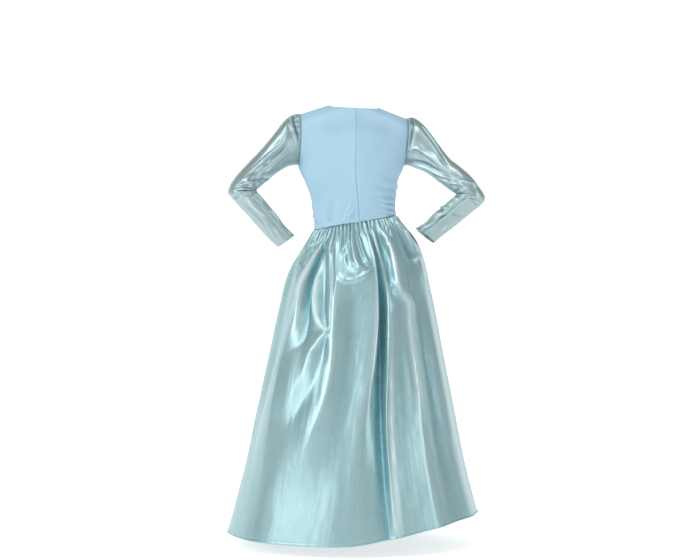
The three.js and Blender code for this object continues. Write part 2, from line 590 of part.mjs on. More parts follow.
function skirtPiece(piece) {
  const bearingAt = (across, down) => {
    const drop = down * skirtLength;
    const share = Math.pow(across, mix(1, piece.dense, ease(drop / 100)));
    return mix(piece.start(drop), piece.end(drop), share);
  };
  const waveAt = (across) => piece.first + piece.gathers * across;
  const at = (across, down) => skirtPoint(bearingAt(across, down), waveAt(across), down);
  const atSeam = (across) => (turned, down) => {
    const bearing = bearingAt(across, down) + (turned - across) * seamDegrees;
    return skirtPoint(bearing, waveAt(across), down);
  };
  const rowAt = (drop, columns) => {
    const down = drop / skirtLength;
    const row = [];
    for (let c = 0; c <= columns; c += 1) {
      const across = c / columns;
      const near = c === 0 || c === columns ? atSeam(across) : at;
      row.push({ point: at(across, down), normal: outward(near, across, down, 1) });
    }
    drawBack(row[0], row[1]);
    drawBack(row[columns], row[columns - 1]);
    return row;
  };
  const upper = gatheredDrops.map((drop) => rowAt(drop, piece.gathers * 4));
  const lower = lowerDrops.map((drop) => rowAt(drop, piece.gathers * 2));
  for (const corner of upper[0]) corner.point.z -= seamGap / 2;
  const sheet = newSheet();
  addRows(sheet, [...upper, ...lower], 1, false);
  return thicken(sheet, satinWall);
}

for (const rows of Object.values(sleeveSections)) {
  rows.forEach((row, i) => Object.assign(row, { down: i / (rows.length - 1) }));
}

const knit = new THREE.MeshStandardMaterial({ color: 0xa9d0ea, roughness: 0.85, metalness: 0 });
const satin = new THREE.MeshStandardMaterial({ color: 0x9fcdd3, roughness: 0.32, metalness: 0.25 });
const dress = new THREE.Group();

function addPiece(name, geometry, material) {
  const mesh = new THREE.Mesh(geometry, material);
  mesh.name = name;
  dress.add(mesh);
}

addPiece("bodice_front", bodicePiece(bodiceFaces.front, [1, -1]), knit);
addPiece("bodice_back_left", bodicePiece(bodiceFaces.back, [1]), knit);
addPiece("bodice_back_right", bodicePiece(bodiceFaces.back, [-1]), knit);
for (const name of Object.keys(sleeveSections)) addPiece(`sleeve_${name}`, sleevePiece(name), satin);
for (const [name, piece] of Object.entries(skirtPieces)) addPiece(name, skirtPiece(piece), satin);

export default dress;
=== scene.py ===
# A child's princess costume dress: matte knit bodice, gathered satin sleeves and a long gathered satin skirt.
# Cloth forms are given in millimetres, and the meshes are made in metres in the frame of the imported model.
import math

import bpy
import numpy as np
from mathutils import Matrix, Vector


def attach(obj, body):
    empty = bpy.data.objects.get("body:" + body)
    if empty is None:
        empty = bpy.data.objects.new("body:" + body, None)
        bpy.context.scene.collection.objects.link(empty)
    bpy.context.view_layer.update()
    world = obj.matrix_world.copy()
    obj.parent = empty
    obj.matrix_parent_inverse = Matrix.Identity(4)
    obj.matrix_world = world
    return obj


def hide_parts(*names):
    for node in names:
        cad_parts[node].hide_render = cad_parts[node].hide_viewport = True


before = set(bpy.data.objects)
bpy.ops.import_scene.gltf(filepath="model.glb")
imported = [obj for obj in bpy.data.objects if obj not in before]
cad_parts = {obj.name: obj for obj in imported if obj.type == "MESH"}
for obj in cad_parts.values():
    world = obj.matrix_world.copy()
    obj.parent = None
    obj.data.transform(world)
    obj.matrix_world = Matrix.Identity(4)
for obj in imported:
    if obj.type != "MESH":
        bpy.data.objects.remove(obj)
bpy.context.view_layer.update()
print("frame loaded:", len(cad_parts), "nodes")

mm = 0.001


# Small helpers for forms and folds

def table(names, *rows):  # rows of numbers as one array for each named column
    return dict(zip(names.split(), np.array(rows, float).T))


def mix(a, b, t):
    return a + (b - a) * t


def ease(t):
    t = np.clip(t, 0, 1)
    return t * t * (3 - 2 * t)


def fold(share, crisp=0.0):  # 1 on the crest and 0 at the reach; a crisp fold comes to an edge
    away = np.minimum(np.abs(share), 1)
    return mix((1 - away ** 2) ** 2, (1 - away) ** 2, crisp)


def scatter(n):  # looks random, same each run
    return np.mod(np.sin(n * 12.9898) * 43758.5453, 1)


def softNoise(x, y, seed, period=1e6):  # from -1 to 1, smooth, one bump a unit
    cellX, cellY = np.floor(x), np.floor(y)
    fx, fy = ease(x - cellX), ease(y - cellY)

    def corner(i, j):
        return 2 * scatter(np.mod(cellX + i, period) * 1.37 + (cellY + j) * 7.91 + seed) - 1

    return mix(mix(corner(0, 0), corner(1, 0), fx), mix(corner(0, 1), corner(1, 1), fx), fy)


def along(rows, key, place, column):  # a table's column on a smooth curve through its rows
    at, value = rows[key], rows[column]
    slope = np.gradient(value)
    slope[1:-1] = (value[2:] - value[:-2]) / (at[2:] - at[:-2])
    slope[0] = (value[1] - value[0]) / (at[1] - at[0])
    slope[-1] = (value[-1] - value[-2]) / (at[-1] - at[-2])
    place = np.clip(place, at[0], at[-1])
    i = np.clip(np.searchsorted(at, place, side="right") - 1, 0, len(at) - 2)
    span = at[i + 1] - at[i]
    t = (place - at[i]) / span
    return mix(value[i], value[i + 1], ease(t)) + span * t * (1 - t) * ((1 - t) * slope[i] - t * slope[i + 1])


def creases(lines, u, v, scale=(1, 1)):  # height of lines of (u, v, reach, height), after how crisp each is
    u, v = u * scale[0], v * scale[1]  # scale turns degrees or shares into millimetres
    total = np.zeros(np.broadcast(u, v).shape)
    for crisp, *line in lines:
        line = [(a * scale[0], b * scale[1], r, h) for a, b, r, h in line]
        nearest = np.full(total.shape, np.inf)
        height = np.zeros(total.shape)
        for (u0, v0, r0, h0), (u1, v1, r1, h1) in zip(line[:-1], line[1:]):
            du, dv = u1 - u0, v1 - v0
            t = np.clip(((u - u0) * du + (v - v0) * dv) / (du * du + dv * dv), 0, 1)
            away = np.hypot(u - u0 - t * du, v - v0 - t * dv)
            closer = away < nearest
            height = np.where(closer, mix(h0, h1, t) * fold(away / mix(r0, r1, t), crisp), height)
            nearest = np.where(closer, away, nearest)
        total += height
    return total


def outward(points, ring):  # normals of a grid, rows downwards and columns to the right as seen from outside
    across = np.roll(points, -1, 1) - np.roll(points, 1, 1) if ring else np.gradient(points, axis=1)
    down = np.gradient(points, axis=0)
    normal = np.cross(down, across)
    return normal / np.maximum(np.linalg.norm(normal, axis=2, keepdims=True), 1e-9)


def cavity(height, across, down, ring, full):  # painted shading of a grid of fold heights: 0.4 on even cloth, 1 for full painted shade in a valley of full depth, 0 for a painted highlight on a crest
    level = height
    for axis, reach, wrap in ((1, across, ring), (0, down, False)):
        pad = [(reach, reach) if i == axis else (0, 0) for i in (0, 1)]
        wide = np.pad(level, pad, mode="wrap" if wrap else "edge")
        total = np.cumsum(wide, axis)
        size = height.shape[axis]
        low = np.take(total, range(size), axis) - np.take(wide, range(size), axis)
        level = (np.take(total, range(2 * reach, 2 * reach + size), axis) - low) / (2 * reach + 1)
    return np.clip(0.4 + 0.6 * (level - height) / full, 0, 1)


# Cloth meshes

def addObject(name, data):
    item = bpy.data.objects.new(name, data)
    bpy.context.collection.objects.link(item)
    return item


# A wall of cloth over a grid of points in millimetres, rows downwards. A ring's last column meets its first.
# turn is 1 where the columns run to the right as seen from outside, and -1 where they run to the left.
def clothObject(name, points, hollow, ring, material, wall, turn=1, openStrip=None):
    rows, columns = points.shape[:2]
    strips = columns if ring else columns - 1
    keep = np.ones((rows - 1, strips), bool)
    if openStrip:  # no cloth between two neighbouring columns down to a row, as in a neckline
        column, openRows = openStrip
        keep[:openRows, column] = False
    index = np.arange(rows * columns).reshape(rows, columns)
    left, right = index[:, :strips], np.roll(index, -1, 1)[:, :strips]
    corners = [left[:-1], left[1:], right[1:], right[:-1]]
    faces = np.stack([c[keep] for c in (corners if turn > 0 else corners[::-1])], 1)
    mesh = bpy.data.meshes.new(name)
    mesh.from_pydata((points.reshape(-1, 3) * mm).tolist(), [], faces.tolist())
    closed = np.concatenate([points, points[:, :1]], 1) if ring else points
    acrossStep = np.linalg.norm(np.diff(closed, axis=1), axis=2)
    acrossStep[:-1][~keep] = 0
    u = np.concatenate([np.zeros((rows, 1)), np.cumsum(acrossStep, 1)], 1)
    u -= u[:, u.shape[1] // 2][:, None]
    v = np.concatenate([[0], np.cumsum(np.linalg.norm(np.diff(points, axis=0), axis=2).mean(1))])
    uv = np.stack([u, np.broadcast_to(-v[:, None], u.shape)], 2) * mm
    uvCorners = [uv[:-1, :strips], uv[1:, :strips], uv[1:, 1:strips + 1], uv[:-1, 1:strips + 1]]
    uvFaces = np.stack([c[keep] for c in (uvCorners if turn > 0 else uvCorners[::-1])], 1)
    layer = mesh.uv_layers.new(name="cloth")
    layer.data.foreach_set("uv", uvFaces.ravel().astype(np.float32))
    # the painted shading kept on the mesh: painted shade in fold valleys, painted highlight on crests
    shade = mesh.attributes.new("hollow", "FLOAT", "POINT")
    shade.data.foreach_set("value", np.clip(hollow, 0, 1).ravel().astype(np.float32))
    mesh.polygons.foreach_set("use_smooth", [True] * len(mesh.polygons))
    mesh.materials.append(material)
    mesh.update()
    piece = addObject(name, mesh)
    thickness = piece.modifiers.new("wall", "SOLIDIFY")
    thickness.thickness = wall * mm
    thickness.offset = -1
    thickness.use_even_offset = False
    return piece


def joinMesh(piece, other):  # adds the other object's mesh to the piece
    with bpy.context.temp_override(active_object=piece, selected_editable_objects=[piece, other]):
        bpy.ops.object.join()


# Materials

def newGroup(name, inputs, outputs, kind="ShaderNodeTree"):  # a node tree, its given sockets and its results
    tree = bpy.data.node_groups.new(name, kind)
    for label, socketKind, value in inputs:
        socket = tree.interface.new_socket(label, in_out="INPUT", socket_type="NodeSocket" + socketKind)
        if value is not None:
            socket.default_value = value
    for label, socketKind in outputs:
        tree.interface.new_socket(label, in_out="OUTPUT", socket_type="NodeSocket" + socketKind)
    return tree, tree.nodes.new("NodeGroupInput").outputs, tree.nodes.new("NodeGroupOutput").inputs


def addNode(tree, kind, inputs=(), **settings):  # an input is a socket to link or a value to set
    node = tree.nodes.new(kind)
    for key, value in settings.items():
        setattr(node, key, value)
    for key, value in dict(inputs).items():
        if isinstance(value, bpy.types.NodeSocket):
            tree.links.new(value, node.inputs[key])
        else:
            node.inputs[key].default_value = value
    return node


def mathNode(tree, operation, *values):
    return addNode(tree, "ShaderNodeMath", enumerate(values), operation=operation).outputs[0]


def rangeNode(tree, value, low, high, start, end):
    ends = {"Value": value, "From Min": low, "From Max": high, "To Min": start, "To Max": end}
    return addNode(tree, "ShaderNodeMapRange", ends).outputs[0]


def mixColor(tree, first, second, share):
    first, second = ((*value, 1) if isinstance(value, tuple) else value for value in (first, second))
    inputs = {"Factor": share, "A": first, "B": second}
    return addNode(tree, "ShaderNodeMix", inputs, data_type="RGBA", clamp_factor=True).outputs["Result"]


def makeThreadGroup():  # crossing threads of a cloth, as a height from 0 to 1
    tree, given, result = newGroup(
        "threads",
        [("Vector", "Vector", None), ("Across", "Float", 1500.0), ("Down", "Float", 1500.0),
         ("Float", "Float", 0.7)],
        [("Height", "Float")],
    )
    x, y = addNode(tree, "ShaderNodeSeparateXYZ", {0: given["Vector"]}).outputs[:2]
    warp = mathNode(tree, "SINE", mathNode(tree, "MULTIPLY", x, given["Across"]))
    weft = mathNode(tree, "SINE", mathNode(tree, "MULTIPLY", y, given["Down"]))
    crossing = mathNode(tree, "MULTIPLY", warp, weft)
    height = mathNode(tree, "ADD", mathNode(tree, "MULTIPLY", warp, given["Float"]), crossing)
    tree.links.new(mathNode(tree, "MULTIPLY_ADD", height, 0.25, 0.5), result["Height"])
    return tree


def makeRumpleGroup():  # long soft unevenness that follows the grain of the cloth, and the slubs of its yarns
    tree, given, result = newGroup(
        "rumple",
        [("Vector", "Vector", None), ("Size", "Float", 30.0), ("Stretch", "Float", 0.25),
         ("Detail", "Float", 3.0), ("Slubs", "Float", 560.0)],
        [("Height", "Float"), ("Mask", "Float"), ("Slub", "Float")],
    )
    x, y = addNode(tree, "ShaderNodeSeparateXYZ", {0: given["Vector"]}).outputs[:2]

    def noise(across, down, size, detail=2.0):
        place = {0: mathNode(tree, "MULTIPLY", x, across), 1: mathNode(tree, "MULTIPLY", y, down)}
        vector = addNode(tree, "ShaderNodeCombineXYZ", place).outputs[0]
        inputs = {"Vector": vector, "Scale": size, "Detail": detail}
        return addNode(tree, "ShaderNodeTexNoise", inputs).outputs["Fac"]

    tree.links.new(noise(1.0, given["Stretch"], given["Size"], given["Detail"]), result["Height"])
    tree.links.new(noise(1.0, 1.0, mathNode(tree, "MULTIPLY", given["Size"], 0.3)), result["Mask"])
    yarns = mathNode(tree, "ADD", noise(1.0, 0.06, given["Slubs"]), noise(0.05, 0.55, given["Slubs"]))
    tree.links.new(mathNode(tree, "SUBTRACT", yarns, 0.5), result["Slub"])
    return tree


threadGroup = makeThreadGroup()
rumpleGroup = makeRumpleGroup()


def clothMaterial(name, look):
    material = bpy.data.materials.new(name)
    material.use_nodes = True
    tree = material.node_tree
    shader = tree.nodes["Principled BSDF"].inputs
    cloth = addNode(tree, "ShaderNodeUVMap", uv_map="cloth").outputs[0]
    weave = {"Vector": cloth, "Across": look["threadsAcross"], "Down": look["threadsDown"],
             "Float": look["threadFloat"]}
    threads = addNode(tree, "ShaderNodeGroup", weave, node_tree=threadGroup).outputs["Height"]
    grain = {"Vector": cloth, "Size": look["rumpleSize"], "Stretch": look["rumpleStretch"]}
    rumple = addNode(tree, "ShaderNodeGroup", grain, node_tree=rumpleGroup).outputs

    # Painted shading from the mesh attribute: a painted highlight colour on fold crests and a painted shade
    # colour in fold valleys.
    hollow = addNode(tree, "ShaderNodeAttribute", attribute_name="hollow").outputs["Fac"]
    paintedHighlightFade = mathNode(tree, "MULTIPLY_ADD", hollow, 4.0, -0.2)  # painted highlight fades out: from 0 at a painted shading of 0.05 to 1 at 0.3
    paintedShadeShare = mathNode(tree, "MULTIPLY_ADD", hollow, 1.667, -0.667)  # share of painted shade: from 0 at a painted shading of 0.4 to 1 at 1
    patchShare = rangeNode(tree, rumple["Mask"], 0.4, 0.68, 0, look["patchShare"])
    slubShare = rangeNode(tree, rumple["Slub"], 0.45, 0.8, 0, look["slubShare"])
    color = mixColor(tree, look["paintedHighlightAndSlubColor"], look["color"], paintedHighlightFade)
    color = mixColor(tree, color, look["paintedShadeColor"], paintedShadeShare)
    color = mixColor(tree, color, look["patchColor"], patchShare)
    # lighter slubs of the yarn share the painted highlight colour
    tree.links.new(mixColor(tree, color, look["paintedHighlightAndSlubColor"], slubShare), shader["Base Color"])
    smoothest, roughest = (look["roughness"] + way * look["roughnessSpread"] for way in (-1, 1))
    tree.links.new(rangeNode(tree, rumple["Height"], 0, 1, smoothest, roughest), shader["Roughness"])

    soft = {"Distance": look["rumpleHeight"] * mm, "Height": rumple["Height"]}
    fine = {"Distance": look["threadHeight"] * mm, "Height": threads}
    fine["Normal"] = addNode(tree, "ShaderNodeBump", soft).outputs[0]
    tree.links.new(addNode(tree, "ShaderNodeBump", fine).outputs[0], shader["Normal"])

    if look["anisotropic"]:  # the sheen runs with the long threads of a satin face
        tangent = addNode(tree, "ShaderNodeTangent", direction_type="UV_MAP", uv_map="cloth")
        tree.links.new(tangent.outputs[0], shader["Tangent"])
        shader["Anisotropic Rotation"].default_value = 0.25
    for label, key in (("Anisotropic", "anisotropic"), ("Metallic", "metallic"), ("IOR", "ior"),
                       ("Sheen Weight", "sheen"), ("Sheen Roughness", "sheenRoughness")):
        shader[label].default_value = look[key]
    shader["Sheen Tint"].default_value = (*look["sheenTint"], 1)
    return material


# Looks of satin, knit and sewing thread. Threads are radians a metre, heights are millimetres.
# Each look has a painted highlight colour for fold crests, which also tints the yarn slubs, and a painted
# shade colour for fold valleys.
satinLook = {
    "color": (0.278, 0.452, 0.478), "paintedHighlightAndSlubColor": (0.48, 0.62, 0.645), "paintedShadeColor": (0.13, 0.345, 0.395),
    "patchColor": (0.35, 0.465, 0.485), "patchShare": 0.2, "slubShare": 0.22,
    "roughness": 0.4, "roughnessSpread": 0.06,
    "metallic": 0.55, "ior": 1.7,
    "anisotropic": 0.6, "sheen": 0.08, "sheenRoughness": 0.4, "sheenTint": (0.8, 0.95, 1.0),
    "threadsAcross": 9000.0, "threadsDown": 3200.0, "threadFloat": 0.8, "threadHeight": 0.02,
    "rumpleSize": 110.0, "rumpleStretch": 0.07, "rumpleHeight": 0.5,
}
knitLook = {
    "color": (0.32, 0.50, 0.62), "paintedHighlightAndSlubColor": (0.38, 0.56, 0.68), "paintedShadeColor": (0.16, 0.31, 0.41),
    "patchColor": (0.39, 0.57, 0.69),
    "patchShare": 0.4, "slubShare": 0.12, "roughness": 0.85, "roughnessSpread": 0.05,
    "metallic": 0.0, "ior": 1.4,
    "anisotropic": 0.0, "sheen": 0.3, "sheenRoughness": 0.5, "sheenTint": (0.8, 0.92, 1.0),
    "threadsAcross": 5200.0, "threadsDown": 7800.0, "threadFloat": 0.9, "threadHeight": 0.12,
    "rumpleSize": 34.0, "rumpleStretch": 1.0, "rumpleHeight": 0.8,
}
# The stitches carry no painted shading, so they take the painted highlight colour all over.
threadLook = {
    "color": (0.16, 0.52, 0.62), "paintedHighlightAndSlubColor": (0.20, 0.56, 0.66), "paintedShadeColor": (0.10, 0.36, 0.46),
    "patchColor": (0.24, 0.60, 0.70),
    "patchShare": 0.5, "slubShare": 0.0, "roughness": 0.5, "roughnessSpread": 0.05,
    "metallic": 0.0, "ior": 1.5,
    "anisotropic": 0.0, "sheen": 0.2, "sheenRoughness": 0.4, "sheenTint": (0.8, 0.95, 1.0),
    "threadsAcross": 9000.0, "threadsDown": 9000.0, "threadFloat": 0.6, "threadHeight": 0.05,
    "rumpleSize": 300.0, "rumpleStretch": 1.0, "rumpleHeight": 0.1,
}
satin = clothMaterial("satin", satinLook)
sleeveSatin = clothMaterial("sleeveSatin", {**satinLook, "color": (0.31, 0.405, 0.413), "roughness": 0.385})
knit = clothMaterial("knit", knitLook)
thread = clothMaterial("thread", threadLook)
print("materials made")


# Bodice: torso form, in the stance of the dress

torso = table(
    "z halfWidth backY frontY sway tilt",
    (-272, 99, 74, 82, -4, -0.18), (-235, 100, 74, 83, -2, -0.12), (-200, 104, 77, 84, 1, -0.06),
    (-165, 115, 81, 84, 5, -0.02), (-133, 129, 83, 82, 6, 0), (-90, 131, 80, 75, 4, 0.01),
    (-45, 131, 70, 62, 1, 0.02), (0, 130, 52, 48, 0, 0.033), (30, 130, 40, 44, 0, 0.033),
)
bodice = {
    "wall": 1.1, "seamGap": 0.3, "waistZ": -272, "underarmZ": -133,
    "shoulderTip": (130, -14), "neckSide": (60, 11),
    "columns": 72, "bodyRows": 56, "armholeRows": 100, "underarmLevel": 5 / 17,
    "dragHeight": 1.9, "lapWidth": 12, "lapDepth": 1.6, "hollowDepth": 4.5, "rumpleHeight": 0.5,
    "scallopReach": 12, "scallopRise": 1.0, "scallopSizes": (1.3, 0.7),
    "closureTurn": 9, "closureRise": 0.5, "neckTurn": 6,  # widths and rise of the turned edges
}
bodiceFaces = {
    "back": {"sign": 1, "neckLevel": 13 / 17, "neckZ": 3, "neckY": 46, "neckRise": 1.5,
             "armholeY": 36, "scoop": 0},
    "front": {"sign": -1, "neckLevel": 12 / 17, "neckZ": -40, "neckY": 56, "neckRise": 0.9,
              "armholeY": 33, "scoop": 7},
}


def posed(x, y, z):  # a point of the upright torso in the stance of the dress
    x, y, z = np.broadcast_arrays(x, y, z)
    return np.stack([x + along(torso, "z", z, "sway"), y, z + along(torso, "z", z, "tilt") * x], -1)


def armholeEdge(face, share):  # share runs from the underarm to the shoulder
    turn = np.pi * share
    rise = (1 - np.cos(turn)) / 2
    widest = mix(along(torso, "z", bodice["underarmZ"], "halfWidth"), bodice["shoulderTip"][0], rise)
    z = mix(bodice["underarmZ"], bodice["shoulderTip"][1], rise)
    return widest - face["scoop"] * np.sin(turn), face["armholeY"] * np.sin(turn), z


def sideEdge(face, level):  # the side seam up to the underarm, then the armhole
    underarm = bodice["underarmLevel"]
    x, y, z = armholeEdge(face, (level - underarm) / (1 - underarm))
    low = level <= underarm
    sideZ = mix(bodice["waistZ"], bodice["underarmZ"], level / underarm)
    sideX = along(torso, "z", sideZ, "halfWidth")
    return np.where(low, sideX, x), np.where(low, 0, y), np.where(low, sideZ, z)


def centreEdge(face, level):  # the centre line up to the neck, then the neckline
    low = level <= face["neckLevel"]
    z = mix(bodice["waistZ"], face["neckZ"], np.minimum(level / face["neckLevel"], 1))
    depth = along(torso, "z", z, "backY" if face["sign"] > 0 else "frontY")
    lowY = mix(depth, face["neckY"], ease((z - face["neckZ"] + 60) / 60))
    turn = np.clip((level - face["neckLevel"]) / (1 - face["neckLevel"]), 0, 1) * np.pi / 2
    x, y = bodice["neckSide"][0] * np.sin(turn), face["neckY"] * np.cos(turn)
    rise = mix(face["neckZ"], bodice["neckSide"][1], (1 - np.cos(turn)) ** face["neckRise"])
    return np.where(low, 0, x), np.where(low, lowY, y), np.where(low, z, rise)


def bodicePoints(face, side, across, level):  # across runs from the centre to the side
    ix, iy, iz = centreEdge(face, level)
    ox, oy, oz = sideEdge(face, level)
    turn = across * np.pi / 2
    above = level - bodice["underarmLevel"]
    roundness = 1 - 0.35 * ease(above / 0.15) - 0.65 * ease((level - 0.7) / 0.3)  # straight at the shoulders
    x = mix(mix(ix, ox, across), ix + (ox - ix) * np.sin(turn), roundness)
    y = mix(mix(iy, oy, across), oy + (iy - oy) * np.cos(turn), roundness)
    return posed(side * x, face["sign"] * y, mix(iz, oz, across))


# Drag folds of the bodice as (x, z, reach, fold height), after how crisp the fold is. +x is the left side.
backCreases = [
    (0.3, (14, -222, 6, 0), (20, -238, 7, 1.6), (30, -258, 8, 2.2), (36, -270, 7, 1.2)),
    (0.3, (8, -230, 5, 0), (12, -246, 6, 1.8), (22, -262, 6, 1.6), (28, -270, 5, 0)),
    (0.0, (58, -205, 14, 0), (62, -235, 16, -0.9), (66, -268, 14, -1.2)),
    (0.0, (80, -200, 14, 0), (79, -235, 14, 0.9), (78, -270, 14, 1.1)),
    (0.4, (-52, -214, 5, 0), (-66, -222, 6, 2.2), (-86, -222, 6, 2.6), (-101, -218, 5, 0.6)),
    (0.4, (-50, -228, 5, 0), (-68, -234, 6, 2.4), (-88, -236, 7, 3.0), (-102, -232, 5, 0.6)),
    (0.4, (-56, -242, 4, 0), (-72, -248, 6, 2.2), (-90, -250, 6, 3.0), (-102, -246, 5, 0.6)),
    (0.2, (-58, -256, 4, 0), (-72, -260, 5, 1.8), (-90, -263, 5, 2.4), (-102, -260, 4, 0.4)),
    (0.0, (-40, -170, 14, 0), (-70, -184, 14, 1.6), (-104, -186, 12, 1.8)),
    (0.0, (-30, -196, 10, 0), (-60, -203, 11, 1.2), (-100, -204, 10, 1.6)),
]
frontCreases = [
    (0.2, (50, -236, 5, 0), (70, -240, 6, 1.8), (92, -238, 6, 2.2), (102, -234, 5, 0.4)),
    (0.2, (54, -256, 5, 0), (72, -258, 6, 1.8), (92, -258, 6, 2.2), (102, -254, 5, 0.4)),
    (0.2, (-52, -228, 5, 0), (-72, -234, 6, 2.0), (-90, -234, 6, 2.4), (-102, -232, 5, 0.6)),
    (0.2, (-54, -246, 5, 0), (-74, -252, 6, 2.0), (-92, -252, 6, 2.4), (-102, -248, 5, 0.6)),
    (0.0, (30, -60, 14, 0), (60, -90, 16, 1.6), (98, -118, 14, 1.2)),
    (0.0, (-30, -64, 14, 0), (-60, -92, 16, 1.6), (-98, -120, 14, 1.2)),
    (0.0, (10, -200, 12, 0), (16, -232, 12, 1.2), (22, -268, 10, 1.2)),
    (0.0, (-16, -205, 12, 0), (-20, -236, 12, 1.2), (-24, -268, 10, 1.2)),
]


def bodiceHalf(face, side):
    underarm = bodice["underarmLevel"]
    low = np.linspace(0, underarm, bodice["bodyRows"] + 1)
    high = np.linspace(underarm, 1, bodice["armholeRows"] + 1)[1:]
    level = np.concatenate([low, high])[::-1][:, None]
    across = np.linspace(0, 1, bodice["columns"] + 1)[None, :]
    points = bodicePoints(face, side, across, level)
    turn = -side * face["sign"]
    normal = outward(points, False) * turn
    x, z = points[..., 0], points[..., 2]
    lines = backCreases if face["sign"] > 0 else frontCreases
    rise = creases(lines, x, z)
    edge = ease((1 - across) * 14) * ease(across * 40 if face["sign"] > 0 else across * 0 + 1)
    rise = rise * mix(0.25, 1, edge) * bodice["dragHeight"]
    rise = rise + bodice["rumpleHeight"] * softNoise(x / 26 + 50, z / 30 + 50, 3)
    slant = z - along(torso, "z", bodice["waistZ"], "tilt") * x
    lift = ease((bodice["waistZ"] + bodice["scallopReach"] - slant) / 10)  # scallops over the gathers
    rise = rise + lift * (bodice["scallopRise"] + 0.5 * np.sin(x / 1.9) * softNoise(x / 14 + 9, z * 0, 5))
    broad, narrow = bodice["scallopSizes"]
    scallop = broad * softNoise(x / 15 + 30, z * 0, 71) + narrow * softNoise(x / 5 + 30, z * 0, 73)
    points[..., 2] += lift * scallop
    if face["sign"] > 0:  # turned edges of the back closure
        off = np.abs(x - along(torso, "z", z, "sway"))
        rise = rise + bodice["closureRise"] * ease((bodice["closureTurn"] - off) / 2) - fold(off / 1.6)
    points = points + normal * rise[..., None]
    gap = bodice["seamGap"] / 2

    def drawBack(row, neighbour):
        way = neighbour - row
        row += way / np.linalg.norm(way, axis=-1, keepdims=True) * gap

    drawBack(points[:, -1], points[:, -2].copy())
    if face["sign"] > 0:
        drawBack(points[:, 0], points[:, 1].copy())
    drawBack(points[0], points[1].copy())
    drawBack(points[-1], points[-2].copy())
    # painted shade in the drag folds' valleys and painted highlight on their crests
    hollow = cavity(rise, 8, 8, False, bodice["hollowDepth"])
    return points, hollow, turn


def onCentre(line):  # which points of a line lie on the centre line, below the neckline
    return np.abs(line[:, 0] - along(torso, "z", line[:, 2], "sway")) < 0.6


def closureLap(points):  # the right half of the back runs on under the left half
    low = points[onCentre(points[:, 0])]
    edge = low[:, 0] - np.array([0, bodice["lapDepth"], 0])
    steps = np.linspace(-3, bodice["lapWidth"], 6)[::-1]
    return np.stack([edge + np.array([step, -abs(step) * 0.02, 0]) for step in steps], 1)


def neckRow(middle):  # first row of the centre line below the neckline
    return int(np.argmax(onCentre(middle)))


def bodicePiece(name, face, sides):
    halves = [bodiceHalf(face, side) for side in sides]
    openStrip = None
    if len(halves) == 1:
        points, hollow, turn = halves[0]
    else:  # one piece from side seam to side seam, left half mirrored in order
        (right, rightHollow, turn), (left, leftHollow, _) = halves
        points = np.concatenate([left[:, ::-1], right[:, 1:]], 1)
        hollow = np.concatenate([leftHollow[:, ::-1], rightHollow[:, 1:]], 1)
        openStrip = (bodice["columns"], neckRow(left[:, 0]))
    piece = clothObject(name, points, hollow, False, knit, bodice["wall"], turn, openStrip)
    if name == "bodiceBackRight":
        lap = closureLap(points)
        # a painted shading of 0 gives the lap the painted highlight colour all over
        joinMesh(piece, clothObject("closureLap", lap, np.zeros(lap.shape[:2]), False, knit, bodice["wall"]))
    return piece


bodiceFront = bodicePiece("bodiceFront", bodiceFaces["front"], [1, -1])
bodiceBackLeft = bodicePiece("bodiceBackLeft", bodiceFaces["back"], [1])
bodiceBackRight = bodicePiece("bodiceBackRight", bodiceFaces["back"], [-1])
print("bodice made")


# Sleeves: sections from armhole to cuff

sleeves = {
    "wall": 0.8, "columns": 192, "setInLength": 0.12, "length": 430, "rows": (46, 146, 12),
    "underlap": 1.2, "tuckLength": 5, "gatherTurn": 15, "gatherHeight": 1.9, "gatherLength": 0.12,
    "gatherWobble": 3, "gatherUnevenness": 0.75, "creaseHeight": 1.15, "rumpleHeight": 0.7,
    "degreeWidth": 0.62, "seamDepth": (1.4, 2.6), "seamReach": 3.2,
    "ridgeHeight": (0.8, 1.6), "ridgeAway": 4.5, "ridgeReach": 3.6,
    "rimHeight": 3.6, "rimAway": 14, "rimReach": 13, "hollowDepth": 3.5,
    "cuffTurn": 9, "cuffRise": 0.5, "cuffDent": 0.7,
    "gatherSpread": {"left": (95, 90), "right": (30, 100)},  # degrees gathered behind and before the shoulder
}
sleeveSections = {
    "left": table(
        "topX topZ underX underZ back halfDepth",
        (130, -10, 135, -133, 0, 35), (152, -14, 149, -136, 6, 41), (171, -28, 163, -140, 15, 40),
        (192, -54, 178, -148, 27, 37), (215, -82, 196, -160, 40, 35), (238, -108, 213, -175, 52, 33),
        (263, -133, 230, -188, 64, 32), (287, -160, 239, -196, 74, 31), (306, -187, 241.5, -198.5, 80, 31),
        (311, -205, 241.5, -201.5, 81, 31), (303, -217, 240, -204.5, 80, 30), (284, -238, 234, -210, 77, 29),
        (259, -263, 218, -227, 72, 28), (231, -294, 195, -255, 65, 26), (207, -319, 171, -284, 58, 25),
        (188, -332, 150, -305, 54, 24),
    ),
    "right": table(
        "topX topZ underX underZ back halfDepth",
        (130, -19, 122, -132, 0, 35), (149, -17, 133, -132, 6, 41), (167, -30, 149, -139, 14, 40),
        (185, -54, 168, -148, 25, 37), (205, -86, 184, -160, 38, 35), (227, -117, 201, -174, 50, 33),
        (247, -134, 218, -189, 62, 32), (272, -157, 232, -200, 72, 32), (294, -186, 236.5, -203.5, 78, 32),
        (309, -212, 236.5, -206.5, 78, 32), (301, -229, 232.5, -210, 76, 31), (279, -248, 222, -220, 66, 30),
        (258, -267, 205, -237, 52, 29), (239, -284, 187, -253, 38, 28), (219, -301, 171, -271, 24, 27),
        (197, -321, 152, -285, 12, 26),
    ),
}
for rows in sleeveSections.values():
    rows["down"] = np.linspace(0, 1, len(rows["topX"]))

